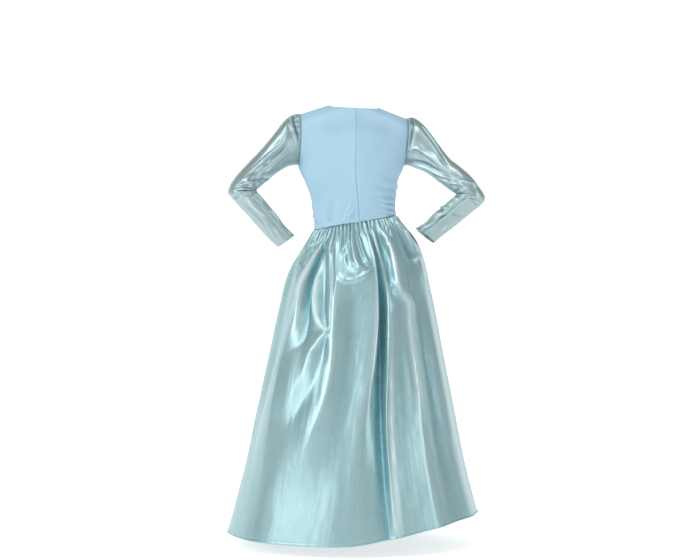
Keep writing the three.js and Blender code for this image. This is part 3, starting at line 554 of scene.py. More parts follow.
# Broad creases out of the inner elbow: share of the sleeve, its drift, degrees from and to, reach and depth
elbowCreases = [
    (0.5, -0.12, 175, 50, 0.035, 4), (0.56, -0.02, 180, 40, 0.03, 5), (0.43, -0.16, 165, 60, 0.035, 3),
    (0.65, 0.06, 180, 60, 0.035, 4), (0.55, -0.04, 185, 310, 0.03, 5), (0.47, -0.12, 190, 290, 0.035, 4),
    (0.64, 0.06, 185, 290, 0.035, 3),
]
# Finer lines on a sleeve as (degrees round the arm, share down, reach, height), after how crisp the fold is.
# 0 degrees is the outer side of the arm and 90 the back.
sleeveLines = {
    "left": [
        (0.5, (2, 0.062, 3, 0), (20, 0.062, 4, -5), (50, 0.062, 5, -7), (72, 0.048, 5, -6),
         (88, 0.032, 4, -4), (100, 0.015, 3, 0)),
        (0.4, (0, 0.095, 5, 0), (24, 0.085, 7, 3.2), (56, 0.084, 8, 3.8), (80, 0.066, 8, 3.2),
         (98, 0.045, 6, 1.5), (112, 0.03, 4, 0)),
        (0.8, (30, 0.02, 3, 0), (44, 0.036, 3, 2), (60, 0.018, 3, 2), (74, 0.03, 3, 0)),
        (0.8, (16, 0.035, 3, 0), (30, 0.045, 3, 2), (44, 0.012, 3, 0)),
        (0.8, (46, 0.115, 5, 0), (60, 0.125, 6, 2.5), (76, 0.15, 7, 3.5), (80, 0.2, 7, 3), (76, 0.25, 7, 3.5),
         (71, 0.31, 7, 3.5), (69, 0.38, 7, 3), (67, 0.44, 6, 2), (60, 0.5, 5, 0)),
        (0.3, (88, 0.13, 6, 0), (92, 0.2, 8, -2.5), (86, 0.28, 8, -2.5), (82, 0.36, 7, -2),
         (80, 0.43, 5, 0)),
        (0.7, (156, 0.17, 4, 0), (148, 0.22, 5, -3), (136, 0.29, 6, -3.5), (120, 0.345, 5, -2.5),
         (108, 0.375, 4, 0)),
        (0.6, (164, 0.22, 4, 0), (152, 0.28, 5, 2.5), (138, 0.335, 5, 2.5), (124, 0.375, 4, 0)),
        (0.8, (178, 0.30, 4, 0), (152, 0.34, 5, -3), (132, 0.385, 5, -3.5), (106, 0.43, 5, -3),
         (84, 0.47, 4, 0)),
        (0.6, (140, 0.41, 4, 0), (112, 0.455, 6, 3), (84, 0.495, 6, 3), (68, 0.525, 5, 0)),
        (0.7, (170, 0.48, 3, 0), (130, 0.525, 5, -3), (96, 0.54, 5, -3), (66, 0.55, 4, 0)),
        (0.7, (150, 0.555, 4, 0), (104, 0.563, 5, 3.5), (72, 0.57, 6, 3.5), (48, 0.57, 5, 0)),
        (0.8, (176, 0.585, 4, 0), (130, 0.588, 6, -5), (94, 0.588, 6, -5), (66, 0.585, 5, -2),
         (50, 0.58, 4, 0)),
        (0.6, (140, 0.62, 5, 0), (90, 0.618, 7, 3.5), (52, 0.625, 7, 3), (24, 0.64, 5, 0)),
        (0.6, (10, 0.685, 4, 0), (40, 0.675, 5, -3), (66, 0.672, 5, -2.5), (84, 0.665, 4, 0)),
        (0.7, (96, 0.68, 5, 0), (84, 0.71, 7, 3), (78, 0.75, 7, 3), (79, 0.79, 7, 3), (84, 0.825, 7, 2.5),
         (92, 0.845, 6, 0)),
        (0.4, (112, 0.70, 5, 0), (106, 0.76, 7, -2), (104, 0.81, 6, 0)),
        (0.4, (44, 0.70, 5, 0), (52, 0.76, 6, -2), (60, 0.84, 6, -2), (60, 0.9, 5, 0)),
        (0.7, (78, 0.86, 5, 0), (66, 0.885, 6, 2.5), (60, 0.92, 6, 2.5), (58, 0.955, 5, 0)),
        (0.7, (100, 0.885, 4, 0), (84, 0.915, 5, 2), (88, 0.95, 4, 0)),
    ],
    "right": [
        (0.5, (8, 0.016, 3, 0), (26, 0.017, 4, 4.5), (70, 0.018, 4, 5), (100, 0.018, 4, 4),
         (116, 0.012, 3, 0)),
        (0.3, (10, 0.045, 5, 0), (32, 0.045, 6, -4), (70, 0.045, 6, -4.5), (96, 0.04, 5, -2),
         (108, 0.03, 4, 0)),
        (0.8, (118, 0.005, 3, 0), (112, 0.04, 4, 3.5), (107, 0.08, 5, 3.5), (104, 0.115, 5, 2.5),
         (106, 0.15, 4, 0)),
        (0.3, (128, 0.03, 5, 0), (122, 0.08, 7, -2.5), (117, 0.13, 8, -2), (116, 0.17, 6, 0)),
        (0.5, (110, 0.14, 6, 0), (102, 0.19, 9, 3), (95, 0.25, 10, 3.5), (92, 0.32, 9, 3), (96, 0.38, 8, 0)),
        (0.4, (34, 0.08, 6, 0), (46, 0.15, 8, -3), (54, 0.23, 8, -3.5), (60, 0.29, 7, -2), (70, 0.34, 6, 0)),
        (0.9, (158, 0.07, 4, 0), (152, 0.12, 5, 3), (149, 0.17, 5, 3.5), (144, 0.23, 5, 3.5),
         (136, 0.30, 5, 3), (122, 0.355, 5, 2.5), (106, 0.405, 4, 0)),
        (0.3, (146, 0.08, 5, 0), (138, 0.15, 7, -3.5), (132, 0.22, 7, -3.5), (122, 0.29, 6, -2.5),
         (110, 0.34, 5, 0)),
        (0.8, (160, 0.27, 4, 0), (148, 0.32, 5, 3), (134, 0.38, 5, 3), (116, 0.445, 5, 3), (96, 0.50, 4, 0)),
        (0.7, (152, 0.345, 4, 0), (134, 0.41, 5, -3.5), (112, 0.47, 5, -3), (92, 0.515, 4, 0)),
        (0.7, (112, 0.36, 4, 0), (92, 0.42, 5, -2.5), (66, 0.475, 5, -2.5), (44, 0.50, 4, 0)),
        (0.5, (96, 0.43, 5, 0), (78, 0.475, 6, 2.5), (54, 0.515, 6, 2.5), (34, 0.54, 5, 0)),
        (0.8, (176, 0.555, 4, 0), (132, 0.572, 5, -5), (106, 0.574, 5, -4.5), (84, 0.57, 4, 0)),
        (0.8, (132, 0.595, 3, 0), (112, 0.605, 5, 4), (92, 0.61, 5, 3), (70, 0.605, 4, 0)),
        (0.6, (108, 0.64, 4, 0), (84, 0.65, 5, -3), (60, 0.655, 5, -3), (36, 0.65, 4, 0)),
        (0.6, (98, 0.665, 4, 0), (74, 0.68, 5, -3.5), (46, 0.685, 5, -3.5), (20, 0.68, 4, 0)),
        (0.7, (106, 0.81, 3, 0), (88, 0.808, 4, -3.5), (62, 0.80, 4, -3), (36, 0.775, 4, -2),
         (22, 0.76, 3, 0)),
        (0.8, (102, 0.828, 3, 0), (110, 0.838, 4, -4.5), (116, 0.86, 4, -4), (112, 0.88, 3, 0)),
        (0.7, (188, 0.815, 3, 0), (172, 0.828, 5, -7), (146, 0.828, 4, -5), (126, 0.82, 3, 0)),
        (0.6, (186, 0.79, 4, 0), (166, 0.795, 7, 6), (140, 0.795, 6, 4), (124, 0.80, 4, 0)),
        (0.4, (60, 0.86, 6, 0), (66, 0.91, 7, 2), (70, 0.96, 6, 0)),
        (0.5, (34, 0.84, 5, 0), (44, 0.90, 6, -2), (50, 0.955, 5, 0)),
    ],
}
sleeveSeam = {"left": 126, "right": 113}  # degrees at which the sleeve's seam shows on the forearm


def tubePoints(name, degrees, down):  # a sleeve's points, and how far each stands out from the plain tube
    side = 1 if name == "left" else -1
    column = lambda key: along(sleeveSections[name], "down", down, key)
    turn = np.radians(degrees)
    shape = np.broadcast(degrees, down).shape
    top = np.stack(np.broadcast_arrays(side * column("topX"), column("back"), column("topZ")), -1)
    under = np.stack(np.broadcast_arrays(side * column("underX"), column("back"), column("underZ")), -1)
    half = (top - under) / 2
    size = np.linalg.norm(half, axis=-1)
    out = np.zeros(shape)
    for at, drift, start, end, reach, depth in elbowCreases:
        share = (degrees - start) / (end - start)
        inside = (share >= 0) & (share <= 1)
        away = (down - at - drift * share) / reach
        out -= np.where(inside, depth * fold(away, 0.35) * fold(share) * ease(share * 6 + 0.3), 0)
    fromTop = np.minimum(degrees, 360 - degrees)
    gathered = (1 - ease(down / sleeves["gatherLength"])) * ease(down / 0.02)
    behind, before = sleeves["gatherSpread"][name]
    spread = ease((np.where(degrees < 180, behind, before) - fromTop) / 25)
    wobble = sleeves["gatherWobble"] * softNoise(degrees / 14, down * 30, 17)
    uneven = 1 + sleeves["gatherUnevenness"] * softNoise(degrees / 15, down * 25, 31)
    puff = 1 - 2 * np.abs(np.cos((degrees + wobble) / sleeves["gatherTurn"] * np.pi)) ** 1.3
    out = out + sleeves["gatherHeight"] * gathered * spread * puff * uneven
    degreeWidth = sleeves["degreeWidth"]
    scale = (degreeWidth, sleeves["length"])
    out = out + sleeves["creaseHeight"] * creases(sleeveLines[name], degrees, down, scale)
    rumple = sleeves["rumpleHeight"] * softNoise(degrees / 30, down * 12 + 3, 7 + side, 12)
    out = out + rumple * ease(down / 0.1)
    seam = (degrees - sleeveSeam[name]) * degreeWidth
    pucker = 0.5 + 0.5 * softNoise(seam * 0, down * 60, 41)
    forearm = mix(0.35, 1, ease((down - 0.6) / 0.05))
    groove = fold(seam / sleeves["seamReach"]) * mix(*sleeves["seamDepth"], pucker)
    ridge = fold((seam + sleeves["ridgeAway"]) / sleeves["ridgeReach"]) * mix(*sleeves["ridgeHeight"], pucker)
    out = out + forearm * (ridge - groove)
    bumps = 0.5 + 0.5 * softNoise(seam * 0 + 4, down * 34, 43)
    rim = sleeves["rimHeight"] * fold((seam - sleeves["rimAway"]) / sleeves["rimReach"])
    out = out + rim * forearm * bumps * ease((down - 0.6) / 0.08)
    fromCuff = (1 - down) * sleeves["length"]
    out = out + sleeves["cuffRise"] * ease((sleeves["cuffTurn"] + 0.5 - fromCuff) / 1.5)
    out = out - sleeves["cuffDent"] * fold((fromCuff - sleeves["cuffTurn"]) / 1.6)
    grown = (size + out) / size
    points = under + half + half * (grown * np.cos(turn))[..., None]
    points[..., 1] += (column("halfDepth") + out) * np.sin(turn)
    return points, out


def sleevePiece(name, objectName):
    side = 1 if name == "left" else -1
    degrees = np.arange(sleeves["columns"])[None, :] * 360 / sleeves["columns"]
    headRows, armRows, cuffRows = sleeves["rows"]
    head = np.linspace(0, 0.14, headRows)[:-1]
    arm = np.linspace(0.14, 0.975, armRows)[:-1]
    cuff = np.linspace(0.975, 1, cuffRows)
    down = np.concatenate([head, arm, cuff])[:, None]
    points, out = tubePoints(name, degrees, down)
    start, _ = tubePoints(name, degrees, np.zeros((1, 1)))
    edge = np.empty((1, sleeves["columns"], 3))
    fromTop = np.minimum(degrees, 360 - degrees)
    for key, face in bodiceFaces.items():
        x, y, z = armholeEdge(face, 1 - fromTop / 180)
        here = (degrees < 180) == (key == "back")
        edge = np.where(here[..., None], posed(side * (x - sleeves["underlap"]), face["sign"] * y, z), edge)
    points = points + (edge - start) * (1 - ease(down / sleeves["setInLength"]))[..., None]
    under = 1 - ease(down * sleeves["length"] / sleeves["tuckLength"])  # the first rows lie under the bodice
    tuck = bodice["wall"] * 1.15 * under
    points = points - outward(points, True) * side * tuck[..., None]
    # painted shade in the creases and gathers of the sleeve, painted highlight on their crests
    hollow = cavity(out, 10, 4, True, sleeves["hollowDepth"])
    return clothObject(objectName, points, hollow, True, sleeveSatin, sleeves["wall"], side)


sleeveLeft = sleevePiece("left", "sleeveLeft")
sleeveRight = sleevePiece("right", "sleeveRight")
print("sleeves made")


# Skirt: one ring of cloth round the body, cut into its three panels at the seams

skirt = {
    "wall": 0.8, "length": 748, "sway": -4, "gathers": 66, "seamFromEdge": 2.5, "tuck": 2.2,
    "gatherHeight": (2.6, 6.4), "gatherLength": (26, 130), "gatherCrisp": 0.9, "gatherWander": (0.42, 0.12),
    "rumpleHeight": (0.6, 0.25), "creaseWidth": 2.3,  # millimetres a degree where the short creases lie
    # hollowDepth, deepFrom and the deep shade rate set the painted shade in the skirt's fold valleys
    "hollowDepth": 9, "deepFrom": 8, "paintedDeepShadeRate": 0.003, "hemTurn": 5, "hemRise": 0.6, "hemDent": 0.5,
    "valleyShade": 0.5, "lowShade": 0.3, "shadeAway": 9, "shadeReach": 19,  # painted shadow right of the deepest valley
}
skirtForm = table(
    "drop halfWidth backY frontY",
    (0, 99, 74, 82), (12, 106, 81, 88), (40, 127, 100, 105), (95, 156, 128, 132), (187, 179, 152, 158),
    (284, 199, 174, 182), (429, 229, 205, 214), (575, 260, 232, 243), (671, 285, 246, 259),
    (748, 307, 255, 270),
)
hemLine = table(
    "bearing drop",
    (-180, 738), (-90, 745), (-35, 750), (-8, 748), (9, 734), (29, 716), (54, 704), (76, 701), (96, 704),
    (180, 738),
)

# Folds of the back by drop below the waist: bearing of the crest in degrees from the centre back towards the
# wearer's right, reach to the left and right, height, and how far the crest leans to the right
foldColumns = "drop bearing left right height lean"
backFolds = {
    "leftHipRidge": (0.3, (15, -40, 14, 9, 2, 0), (42, -44, 18, 10, 6, 0), (62, -47, 20, 12, 9, 0),
        (92, -50, 24, 14, 11, 1), (125, -55, 26, 19, 12, 2), (168, -55.5, 30, 25, 12, 2),
        (210, -55, 40, 30, 11, 0), (275, -58.5, 56, 54, 12, 0), (335, -61, 70, 70, 14.5, 0),
        (415, -62, 84, 82, 14, 0), (500, -62.5, 100, 92, 9, 0), (600, -62.5, 110, 100, 3, 0),
        (700, -62.5, 110, 100, 0, 0)),
    "leftHipValley": (0.2, (15, -36, 9, 8, -3, 0), (55, -41, 13, 10, -10, 0), (80, -43, 15, 12, -14, 0),
        (108, -45.5, 18, 14, -17, 0), (148, -48, 22, 17, -18, 0), (185, -47, 28, 21, -14, 0),
        (225, -44, 40, 28, -8, 0), (300, -45, 60, 50, 0, 0)),
    "sweptRidge": (0.35, (105, -41, 10, 16, 0, 0), (128, -41, 13, 20, 6, 0), (158, -40.5, 15, 24, 10, 0),
        (190, -39, 17, 25, 11, 0), (215, -36, 22, 22, 11, 0), (235, -32, 30, 18, 11, 1),
        (252, -28.5, 40, 14, 11, 2), (275, -33, 48, 22, 10, 1), (300, -38, 60, 36, 9, 0),
        (360, -43, 76, 60, 8, 0), (460, -55, 100, 90, 0, 0)),
    "narrowPleat": (0.4, (8, -36, 9, 9, 2, 0), (45, -33, 11, 10, 5, 0), (78, -30, 13, 10, 7, 0),
        (115, -27.5, 14, 9, 7, 0), (163, -26, 16, 9, 7, 0), (220, -25.5, 20, 9, 5, 0),
        (300, -25, 22, 10, 0, 0)),
    "longRidge": (0.45, (15, -26, 8, 12, 2, 0), (50, -26, 11, 18, 6, 0), (85, -24, 13, 26, 8, 0),
        (130, -22, 14, 34, 10, 0), (180, -22.5, 16, 44, 11, -1), (280, -22, 26, 54, 12, -1),
        (345, -22.5, 38, 56, 12, -1), (415, -25.5, 56, 60, 13, 0), (450, -28.5, 70, 66, 13, 0),
        (495, -32, 84, 74, 12, 0), (535, -35.5, 90, 84, 9, 0), (620, -39, 110, 100, 2, 0),
        (748, -41, 130, 120, 0, 0)),
    "lowFacet": (0.0, (430, -30, 60, 60, 0, 0), (540, -33, 90, 80, -6, 0), (640, -34, 110, 96, -11, 0),
        (748, -34, 120, 106, -11, 0)),
    "centrePuff": (0.0, (30, -11, 30, 32, 2, 0), (80, -9, 40, 40, 8, 0), (118, -7, 50, 44, 11, 0),
        (150, -8, 60, 50, 5, 0), (185, -8, 66, 56, 0, 0)),
    "centreHollow": (0.0, (150, -10, 50, 60, 0, 0), (240, -9, 60, 62, -6, 0), (400, -13, 80, 70, -9, 0),
        (560, -15, 96, 80, -7, 0), (748, -12, 110, 90, -4, 0)),
    "backEdge": (0.25, (0, 6, 16, 10, 2, 1), (90, 9.5, 30, 12, 8, 3), (186, 8, 50, 16, 11, 7),
        (302, 5, 60, 20, 11, 6), (416, 0, 66, 34, 8, 3), (560, -3, 70, 44, 4, 0), (748, -4, 80, 70, 0, 0)),
    "deepValley": (0.0, (10, 9, 6, 8, -4, 0), (60, 11, 8, 11, -12, 0), (100, 12.5, 11, 16, -16, 0),
        (151, 13, 16, 22, -21, 0), (256, 12.2, 24, 19, -23, 0), (348, 10.6, 38, 15, -22, 0),
        (440, 8.6, 54, 12, -19, 0), (560, 7.4, 70, 14, -15, 0), (660, 7, 82, 20, -11, 0),
        (748, 7.5, 92, 36, -7, 0)),
    "rightFlankEdge": (0.4, (160, 21, 18, 30, 0, 0), (200, 19, 16, 44, 3, -1), (256, 16.6, 14, 60, 5, -2),
        (348, 14.2, 13, 76, 6, -4), (410, 12.4, 13, 82, 8, -5), (490, 11, 12, 84, 10, -6),
        (560, 10.8, 11, 84, 11, -5), (640, 11, 12, 84, 9, -3), (748, 11.3, 18, 90, 6, -1)),
    "rightHollow": (0.1, (15, 19, 10, 10, -4, 0), (45, 20.5, 16, 12, -10, 0), (75, 21.5, 20, 14, -13, 0),
        (105, 22, 20, 14, -8, 0), (135, 23, 22, 14, -9, 0), (160, 24, 24, 16, -5, 0),
        (190, 25, 36, 30, 0, 0)),
    "rightRidge": (0.5, (10, 24, 9, 14, 3, 0), (35, 25.5, 9, 20, 7, 0), (62, 27, 10, 26, 9, 0),
        (98, 28, 11, 32, 10, 0), (142, 27.5, 13, 38, 11, 0), (170, 28.5, 20, 40, 12, 0),
        (186, 31, 32, 38, 12, 0), (205, 33.5, 40, 36, 12, 0), (243, 31.5, 46, 42, 12, 0),
        (300, 31.5, 52, 50, 12, 0), (400, 32, 64, 60, 12, 0), (520, 31, 76, 76, 11, 0),
        (640, 31.5, 88, 92, 10, 0), (748, 33, 110, 110, 8, 0)),
    "rightHipValley": (0.1, (15, 47, 11, 10, -4, 0), (42, 52, 18, 14, -11, 0), (70, 54, 24, 17, -14, 0),
        (95, 53, 28, 22, -9, 0), (112, 51, 30, 26, -4, 0), (145, 50, 44, 44, 0, 0)),
    "rightHipRidge": (0.5, (15, 57, 12, 18, 3, 0), (45, 61, 16, 26, 8, 0), (75, 65, 20, 34, 9, 0),
        (102, 64, 26, 36, 8, 0), (150, 66, 46, 50, 3, 0), (230, 64, 54, 54, 0, 0)),
    "rightSoftValley": (0.0, (190, 47, 32, 36, 0, 0), (330, 46, 46, 54, -5, 0), (560, 46, 64, 66, -6, 0),
        (748, 50, 84, 76, -4, 0)),
    "rightSoftRidge": (0.2, (170, 63, 36, 48, 0, 0), (330, 59, 52, 66, 8, 0), (560, 57, 70, 76, 9, 0),
        (748, 62, 92, 90, 5, 0)),
}
for name, (crisp, *rows) in backFolds.items():
    backFolds[name] = (crisp, table(foldColumns, *rows))

# Straighter folds of the sides and the front: bearing at the waist and the hem, reach, height, longest drop
frontFolds = [
    (90, 87, 38, 9, 748), (104, 102, 26, -13, 640), (116, 114, 34, 12, 748),
    (129, 127, 30, -24, 748), (141, 142, 32, 13, 748), (152, 154, 24, -16, 430), (164, 168, 34, 12, 748),
    (178, 182, 28, -26, 748), (190, 196, 32, 13, 748), (201, 208, 24, -15, 400), (213, 221, 34, 13, 748),
    (226, 234, 30, -23, 700), (239, 246, 34, 12, 748), (252, 257, 26, -13, 520), (264, 268, 34, 6, 748),
    (278, 281, 30, -6, 600),
]


# Short creases below the waist as (bearing, drop, reach, height)
skirtLines = [
    (0.8, (-11, 8, 4, 0), (-10.5, 30, 6, 4), (-10, 50, 7, 5), (-8.5, 72, 7, 5), (-7, 90, 7, 5),
     (-3.5, 105, 7, 4), (1, 112, 7, 3), (4, 107, 6, 0)),
    (0.8, (-8, 8, 4, 0), (-4.5, 26, 5, 3), (-1.5, 43, 6, 5), (-0.5, 60, 6, 5), (1, 78, 6, 5), (3, 95, 6, 4),
     (5.5, 110, 5, 0)),
    (0.1, (-14, 14, 6, 0), (-14, 45, 10, -5), (-12.5, 78, 11, -6), (-9, 104, 12, -4), (-6, 122, 10, 0)),
    (0.1, (-6.5, 18, 4, 0), (-4.5, 50, 6, -4), (-2.5, 80, 8, -5), (0, 98, 6, 0)),
    (0.4, (-22, 112, 7, 0), (-19, 126, 9, 3), (-14, 136, 10, 4), (-8, 137, 10, 4), (-2, 131, 10, 4),
     (4, 120, 9, 2), (7, 110, 7, 0)),
    (0.3, (-20, 14, 5, 0), (-19.5, 35, 7, -4), (-18, 60, 8, -4), (-17, 84, 8, 0)),
    (0.8, (-29.5, 12, 4, 0), (-29, 40, 5, 3), (-28, 60, 4, 0)),
    (0.7, (15, 6, 4, 0), (15.5, 26, 6, 4), (16.5, 48, 6, 4), (17, 78, 6, 2), (17.5, 96, 5, 0)),
    (0.5, (22, 168, 6, 0), (24, 160, 7, 3), (26.5, 150, 6, 0)),
    (0.2, (28, 160, 8, 0), (29.5, 178, 10, 2.5), (33, 198, 11, 3), (31.5, 243, 11, 3), (31.5, 300, 11, 3),
     (32, 400, 12, 2.5), (31, 480, 14, 0)),
    (0.7, (33, 8, 5, 0), (35, 26, 6, 4), (36.5, 44, 7, 3), (37, 64, 6, 0)),
    (0.7, (43, 8, 5, 0), (45, 24, 6, 4), (47, 40, 6, 2), (48, 52, 5, 0)),
    (0.6, (46, 100, 6, 0), (52, 106, 8, 4), (60, 103, 9, 4), (70, 94, 8, 2), (76, 84, 6, 0)),
    (0.7, (-46, 12, 5, 0), (-52, 34, 6, 4), (-60, 58, 7, 4), (-70, 76, 7, 2), (-78, 86, 6, 0)),
    (0.2, (-52, 14, 6, 0), (-60, 38, 8, -5), (-70, 58, 9, -5), (-80, 72, 8, 0)),
    (0.7, (-58, 16, 5, 0), (-68, 40, 7, 4), (-80, 58, 8, 3), (-92, 70, 7, 0)),
    (0.6, (-62, 88, 7, 0), (-68, 80, 8, 3), (-76, 78, 8, 2), (-84, 82, 7, 0)),
    (0.7, (-38, 10, 4, 0), (-39.5, 30, 6, 3), (-41, 52, 5, 2), (-42, 72, 4, 0)),
    (0.3, (70, 14, 6, 0), (72, 44, 9, -4), (76, 78, 10, -4), (78, 110, 9, 0)),
    (0.5, (84, 10, 6, 0), (86, 46, 8, 4), (90, 90, 9, 3), (92, 130, 8, 0)),
]


def backSeam(drop):
    return along(backFolds["backEdge"][1], "drop", drop, "bearing") - skirt["seamFromEdge"]


def straight(bearing):  # a side seam that keeps one bearing
    return lambda drop: bearing + 0 * drop


# Panels from seam to seam: gathers taken, columns a gather, and how the columns crowd towards the start
skirtPanels = {
    "skirtBackLeft": {"start": straight(-90), "end": backSeam, "gathers": 18, "fine": 9, "dense": 1.0},
    "skirtBackRight": {"start": backSeam, "end": straight(90), "gathers": 15, "fine": 9, "dense": 1.35},
    "skirtFront": {"start": straight(90), "end": straight(270), "gathers": 33, "fine": 6, "dense": 1.0},
}


def gatherRise(wave, drop):  # height of the gathers, each a unit of wave wide
    count = skirt["gathers"]
    wide, fine = skirt["gatherWander"]
    broad = wide * softNoise(wave / 1.5, drop / 40, 61, count / 1.5)
    wave = wave + broad + fine * softNoise(wave * 2, drop / 12, 67, 2 * count)
    number = np.floor(wave)
    part = ease(wave - number)

    def between(salt):
        return mix(scatter(np.mod(number, count) + salt), scatter(np.mod(number + 1, count) + salt), part)

    length = mix(*skirt["gatherLength"], between(7) ** 1.6)
    left = (1 - np.clip(drop / length, 0, 1)) ** 1.2
    puff = 2 * np.abs(np.sin(wave * np.pi)) ** skirt["gatherCrisp"] - 1
    return mix(*skirt["gatherHeight"], between(90)) * left * puff


def foldsAt(bearing, drop, degreeWidth):  # how far the folds stand out, and how far their crests lean
    out, aside = 0, 0
    for crisp, rows in backFolds.values():
        away = (bearing - along(rows, "drop", drop, "bearing")) * degreeWidth
        reach = np.where(away < 0, along(rows, "drop", drop, "left"), along(rows, "drop", drop, "right"))
        shape = fold(away / reach, crisp)
        out = out + along(rows, "drop", drop, "height") * shape
        aside = aside + along(rows, "drop", drop, "lean") * shape
    share = drop / skirt["length"]
    for top, bottom, reach, height, longest in frontFolds:
        away = (np.mod(bearing, 360) - mix(top, bottom, share)) * degreeWidth
        end = 1 if longest < skirt["length"] else 0.4
        high = height * ease(drop / 130) * (1 - end * ease((drop / longest - 0.5) * 2))
        out = out + high * fold(away / (reach * mix(0.8, 2.2, share)), 0.25)
    return out, aside


def skirtPoints(bearing, wave, down):  # down runs from 0 at the waist to 1 at the hem
    turned = np.mod(bearing + 180, 360) - 180
    drop = down * along(hemLine, "bearing", turned, "drop")
    turn = np.radians(bearing)
    halfWidth = along(skirtForm, "drop", drop, "halfWidth")
    backY, frontY = (along(skirtForm, "drop", drop, key) for key in ("backY", "frontY"))
    depth = np.where(np.cos(turn) > 0, backY, frontY)
    degreeWidth = np.radians(1) * np.hypot(halfWidth * np.cos(turn), depth * np.sin(turn))
    foldOut, foldAside = foldsAt(bearing, drop, degreeWidth)
    grown = ease(drop / 45)
    gather = gatherRise(wave, np.maximum(drop, 0)) * mix(0.25, 1, ease((drop + 3) / 9))
    foldOut = foldOut + creases(skirtLines, turned, drop, (skirt["creaseWidth"], 1))
    broad, fine = skirt["rumpleHeight"]
    rumple = broad * softNoise(bearing / 8, drop / 80, 5, 45) * ease(drop / 60)
    rumple = rumple + fine * softNoise(bearing / 3, drop / 26, 8, 120) * ease(drop / 30)
    under = -skirt["tuck"] * (1 - ease((drop + 1) / 6))
    out = foldOut * grown + gather + rumple + under
    wx, wy = -depth * np.sin(turn), halfWidth * np.cos(turn)
    size = np.hypot(wx, wy)
    wx, wy = wx / size, wy / size
    x = -halfWidth * np.sin(turn) + out * wx - foldAside * grown * wy
    y = depth * np.cos(turn) + out * wy + foldAside * grown * wx
    slant = along(torso, "z", bodice["waistZ"], "tilt") * (1 - np.maximum(down, 0)) ** 2
    points = np.stack([x + skirt["sway"], y, bodice["waistZ"] - drop + slant * x], -1)
    # painted shadow on the wall right of the deepest valley, none near the waist and weaker towards the hem
    inner = (bearing - along(backFolds["deepValley"][1], "drop", drop, "bearing")) * degreeWidth
    shade = skirt["valleyShade"] * fold((inner - skirt["shadeAway"]) / skirt["shadeReach"])
    shade = shade * ease((drop - 60) / 140) * mix(1, skirt["lowShade"], ease((drop - 500) / 160))
    # the fold height given back for painted shading counts the gathers 2.2 times
    return points, foldOut * grown + gather * 2.2, shade


def skirtRing():
    hem = skirt["length"]
    drops = np.concatenate([
        np.linspace(-3, 60, 32)[:-1], np.linspace(60, 250, 60)[:-1], np.linspace(250, hem - 10, 106)[:-1],
        np.linspace(hem - 10, hem, 9),
    ])[:, None]
    bearings, waves, cuts = [], [], [0]
    first = 0
    for panel in skirtPanels.values():
        count = panel["gathers"] * panel["fine"]
        across = np.arange(count)[None, :] / count
        share = across ** mix(1, panel["dense"], ease(drops / 100))
        bearings.append(mix(panel["start"](drops), panel["end"](drops), share))
        waves.append(np.broadcast_to(first + panel["gathers"] * across, share.shape))
        first += panel["gathers"]
        cuts.append(cuts[-1] + count)
    bearing, wave = np.concatenate(bearings, 1), np.concatenate(waves, 1)
    points, height, shade = skirtPoints(bearing, wave, drops / hem)
    # painted shading: painted shade and highlight of the folds, more painted shade in deep valleys, and the
    # painted shadow
    paintedDeepShade = -skirt["paintedDeepShadeRate"] * np.minimum(height + skirt["deepFrom"], 0)
    hollow = np.clip(cavity(height, 12, 4, True, skirt["hollowDepth"]) + paintedDeepShade + shade, 0, 1)
    normal = outward(points, True)
    fromHem = hem - drops
    rise = skirt["hemRise"] * ease((skirt["hemTurn"] - fromHem) / 2)
    rise = rise - skirt["hemDent"] * fold((fromHem - skirt["hemTurn"] - 1) / 1.5)
    points = points + normal * rise[..., None]
    return points, hollow, cuts


def skirtPieces():
    points, hollow, cuts = skirtRing()
    total = points.shape[1]
    made = {}
    for name, start, end in zip(skirtPanels, cuts[:-1], cuts[1:]):
        pick = np.arange(start, end + 1) % total
        made[name] = clothObject(name, points[:, pick], hollow[:, pick], False, satin, skirt["wall"])
    return made


panels = skirtPieces()
print("skirt made")


# Stitches: one Geometry Nodes tree lays a row of thread stitches along a path on the cloth

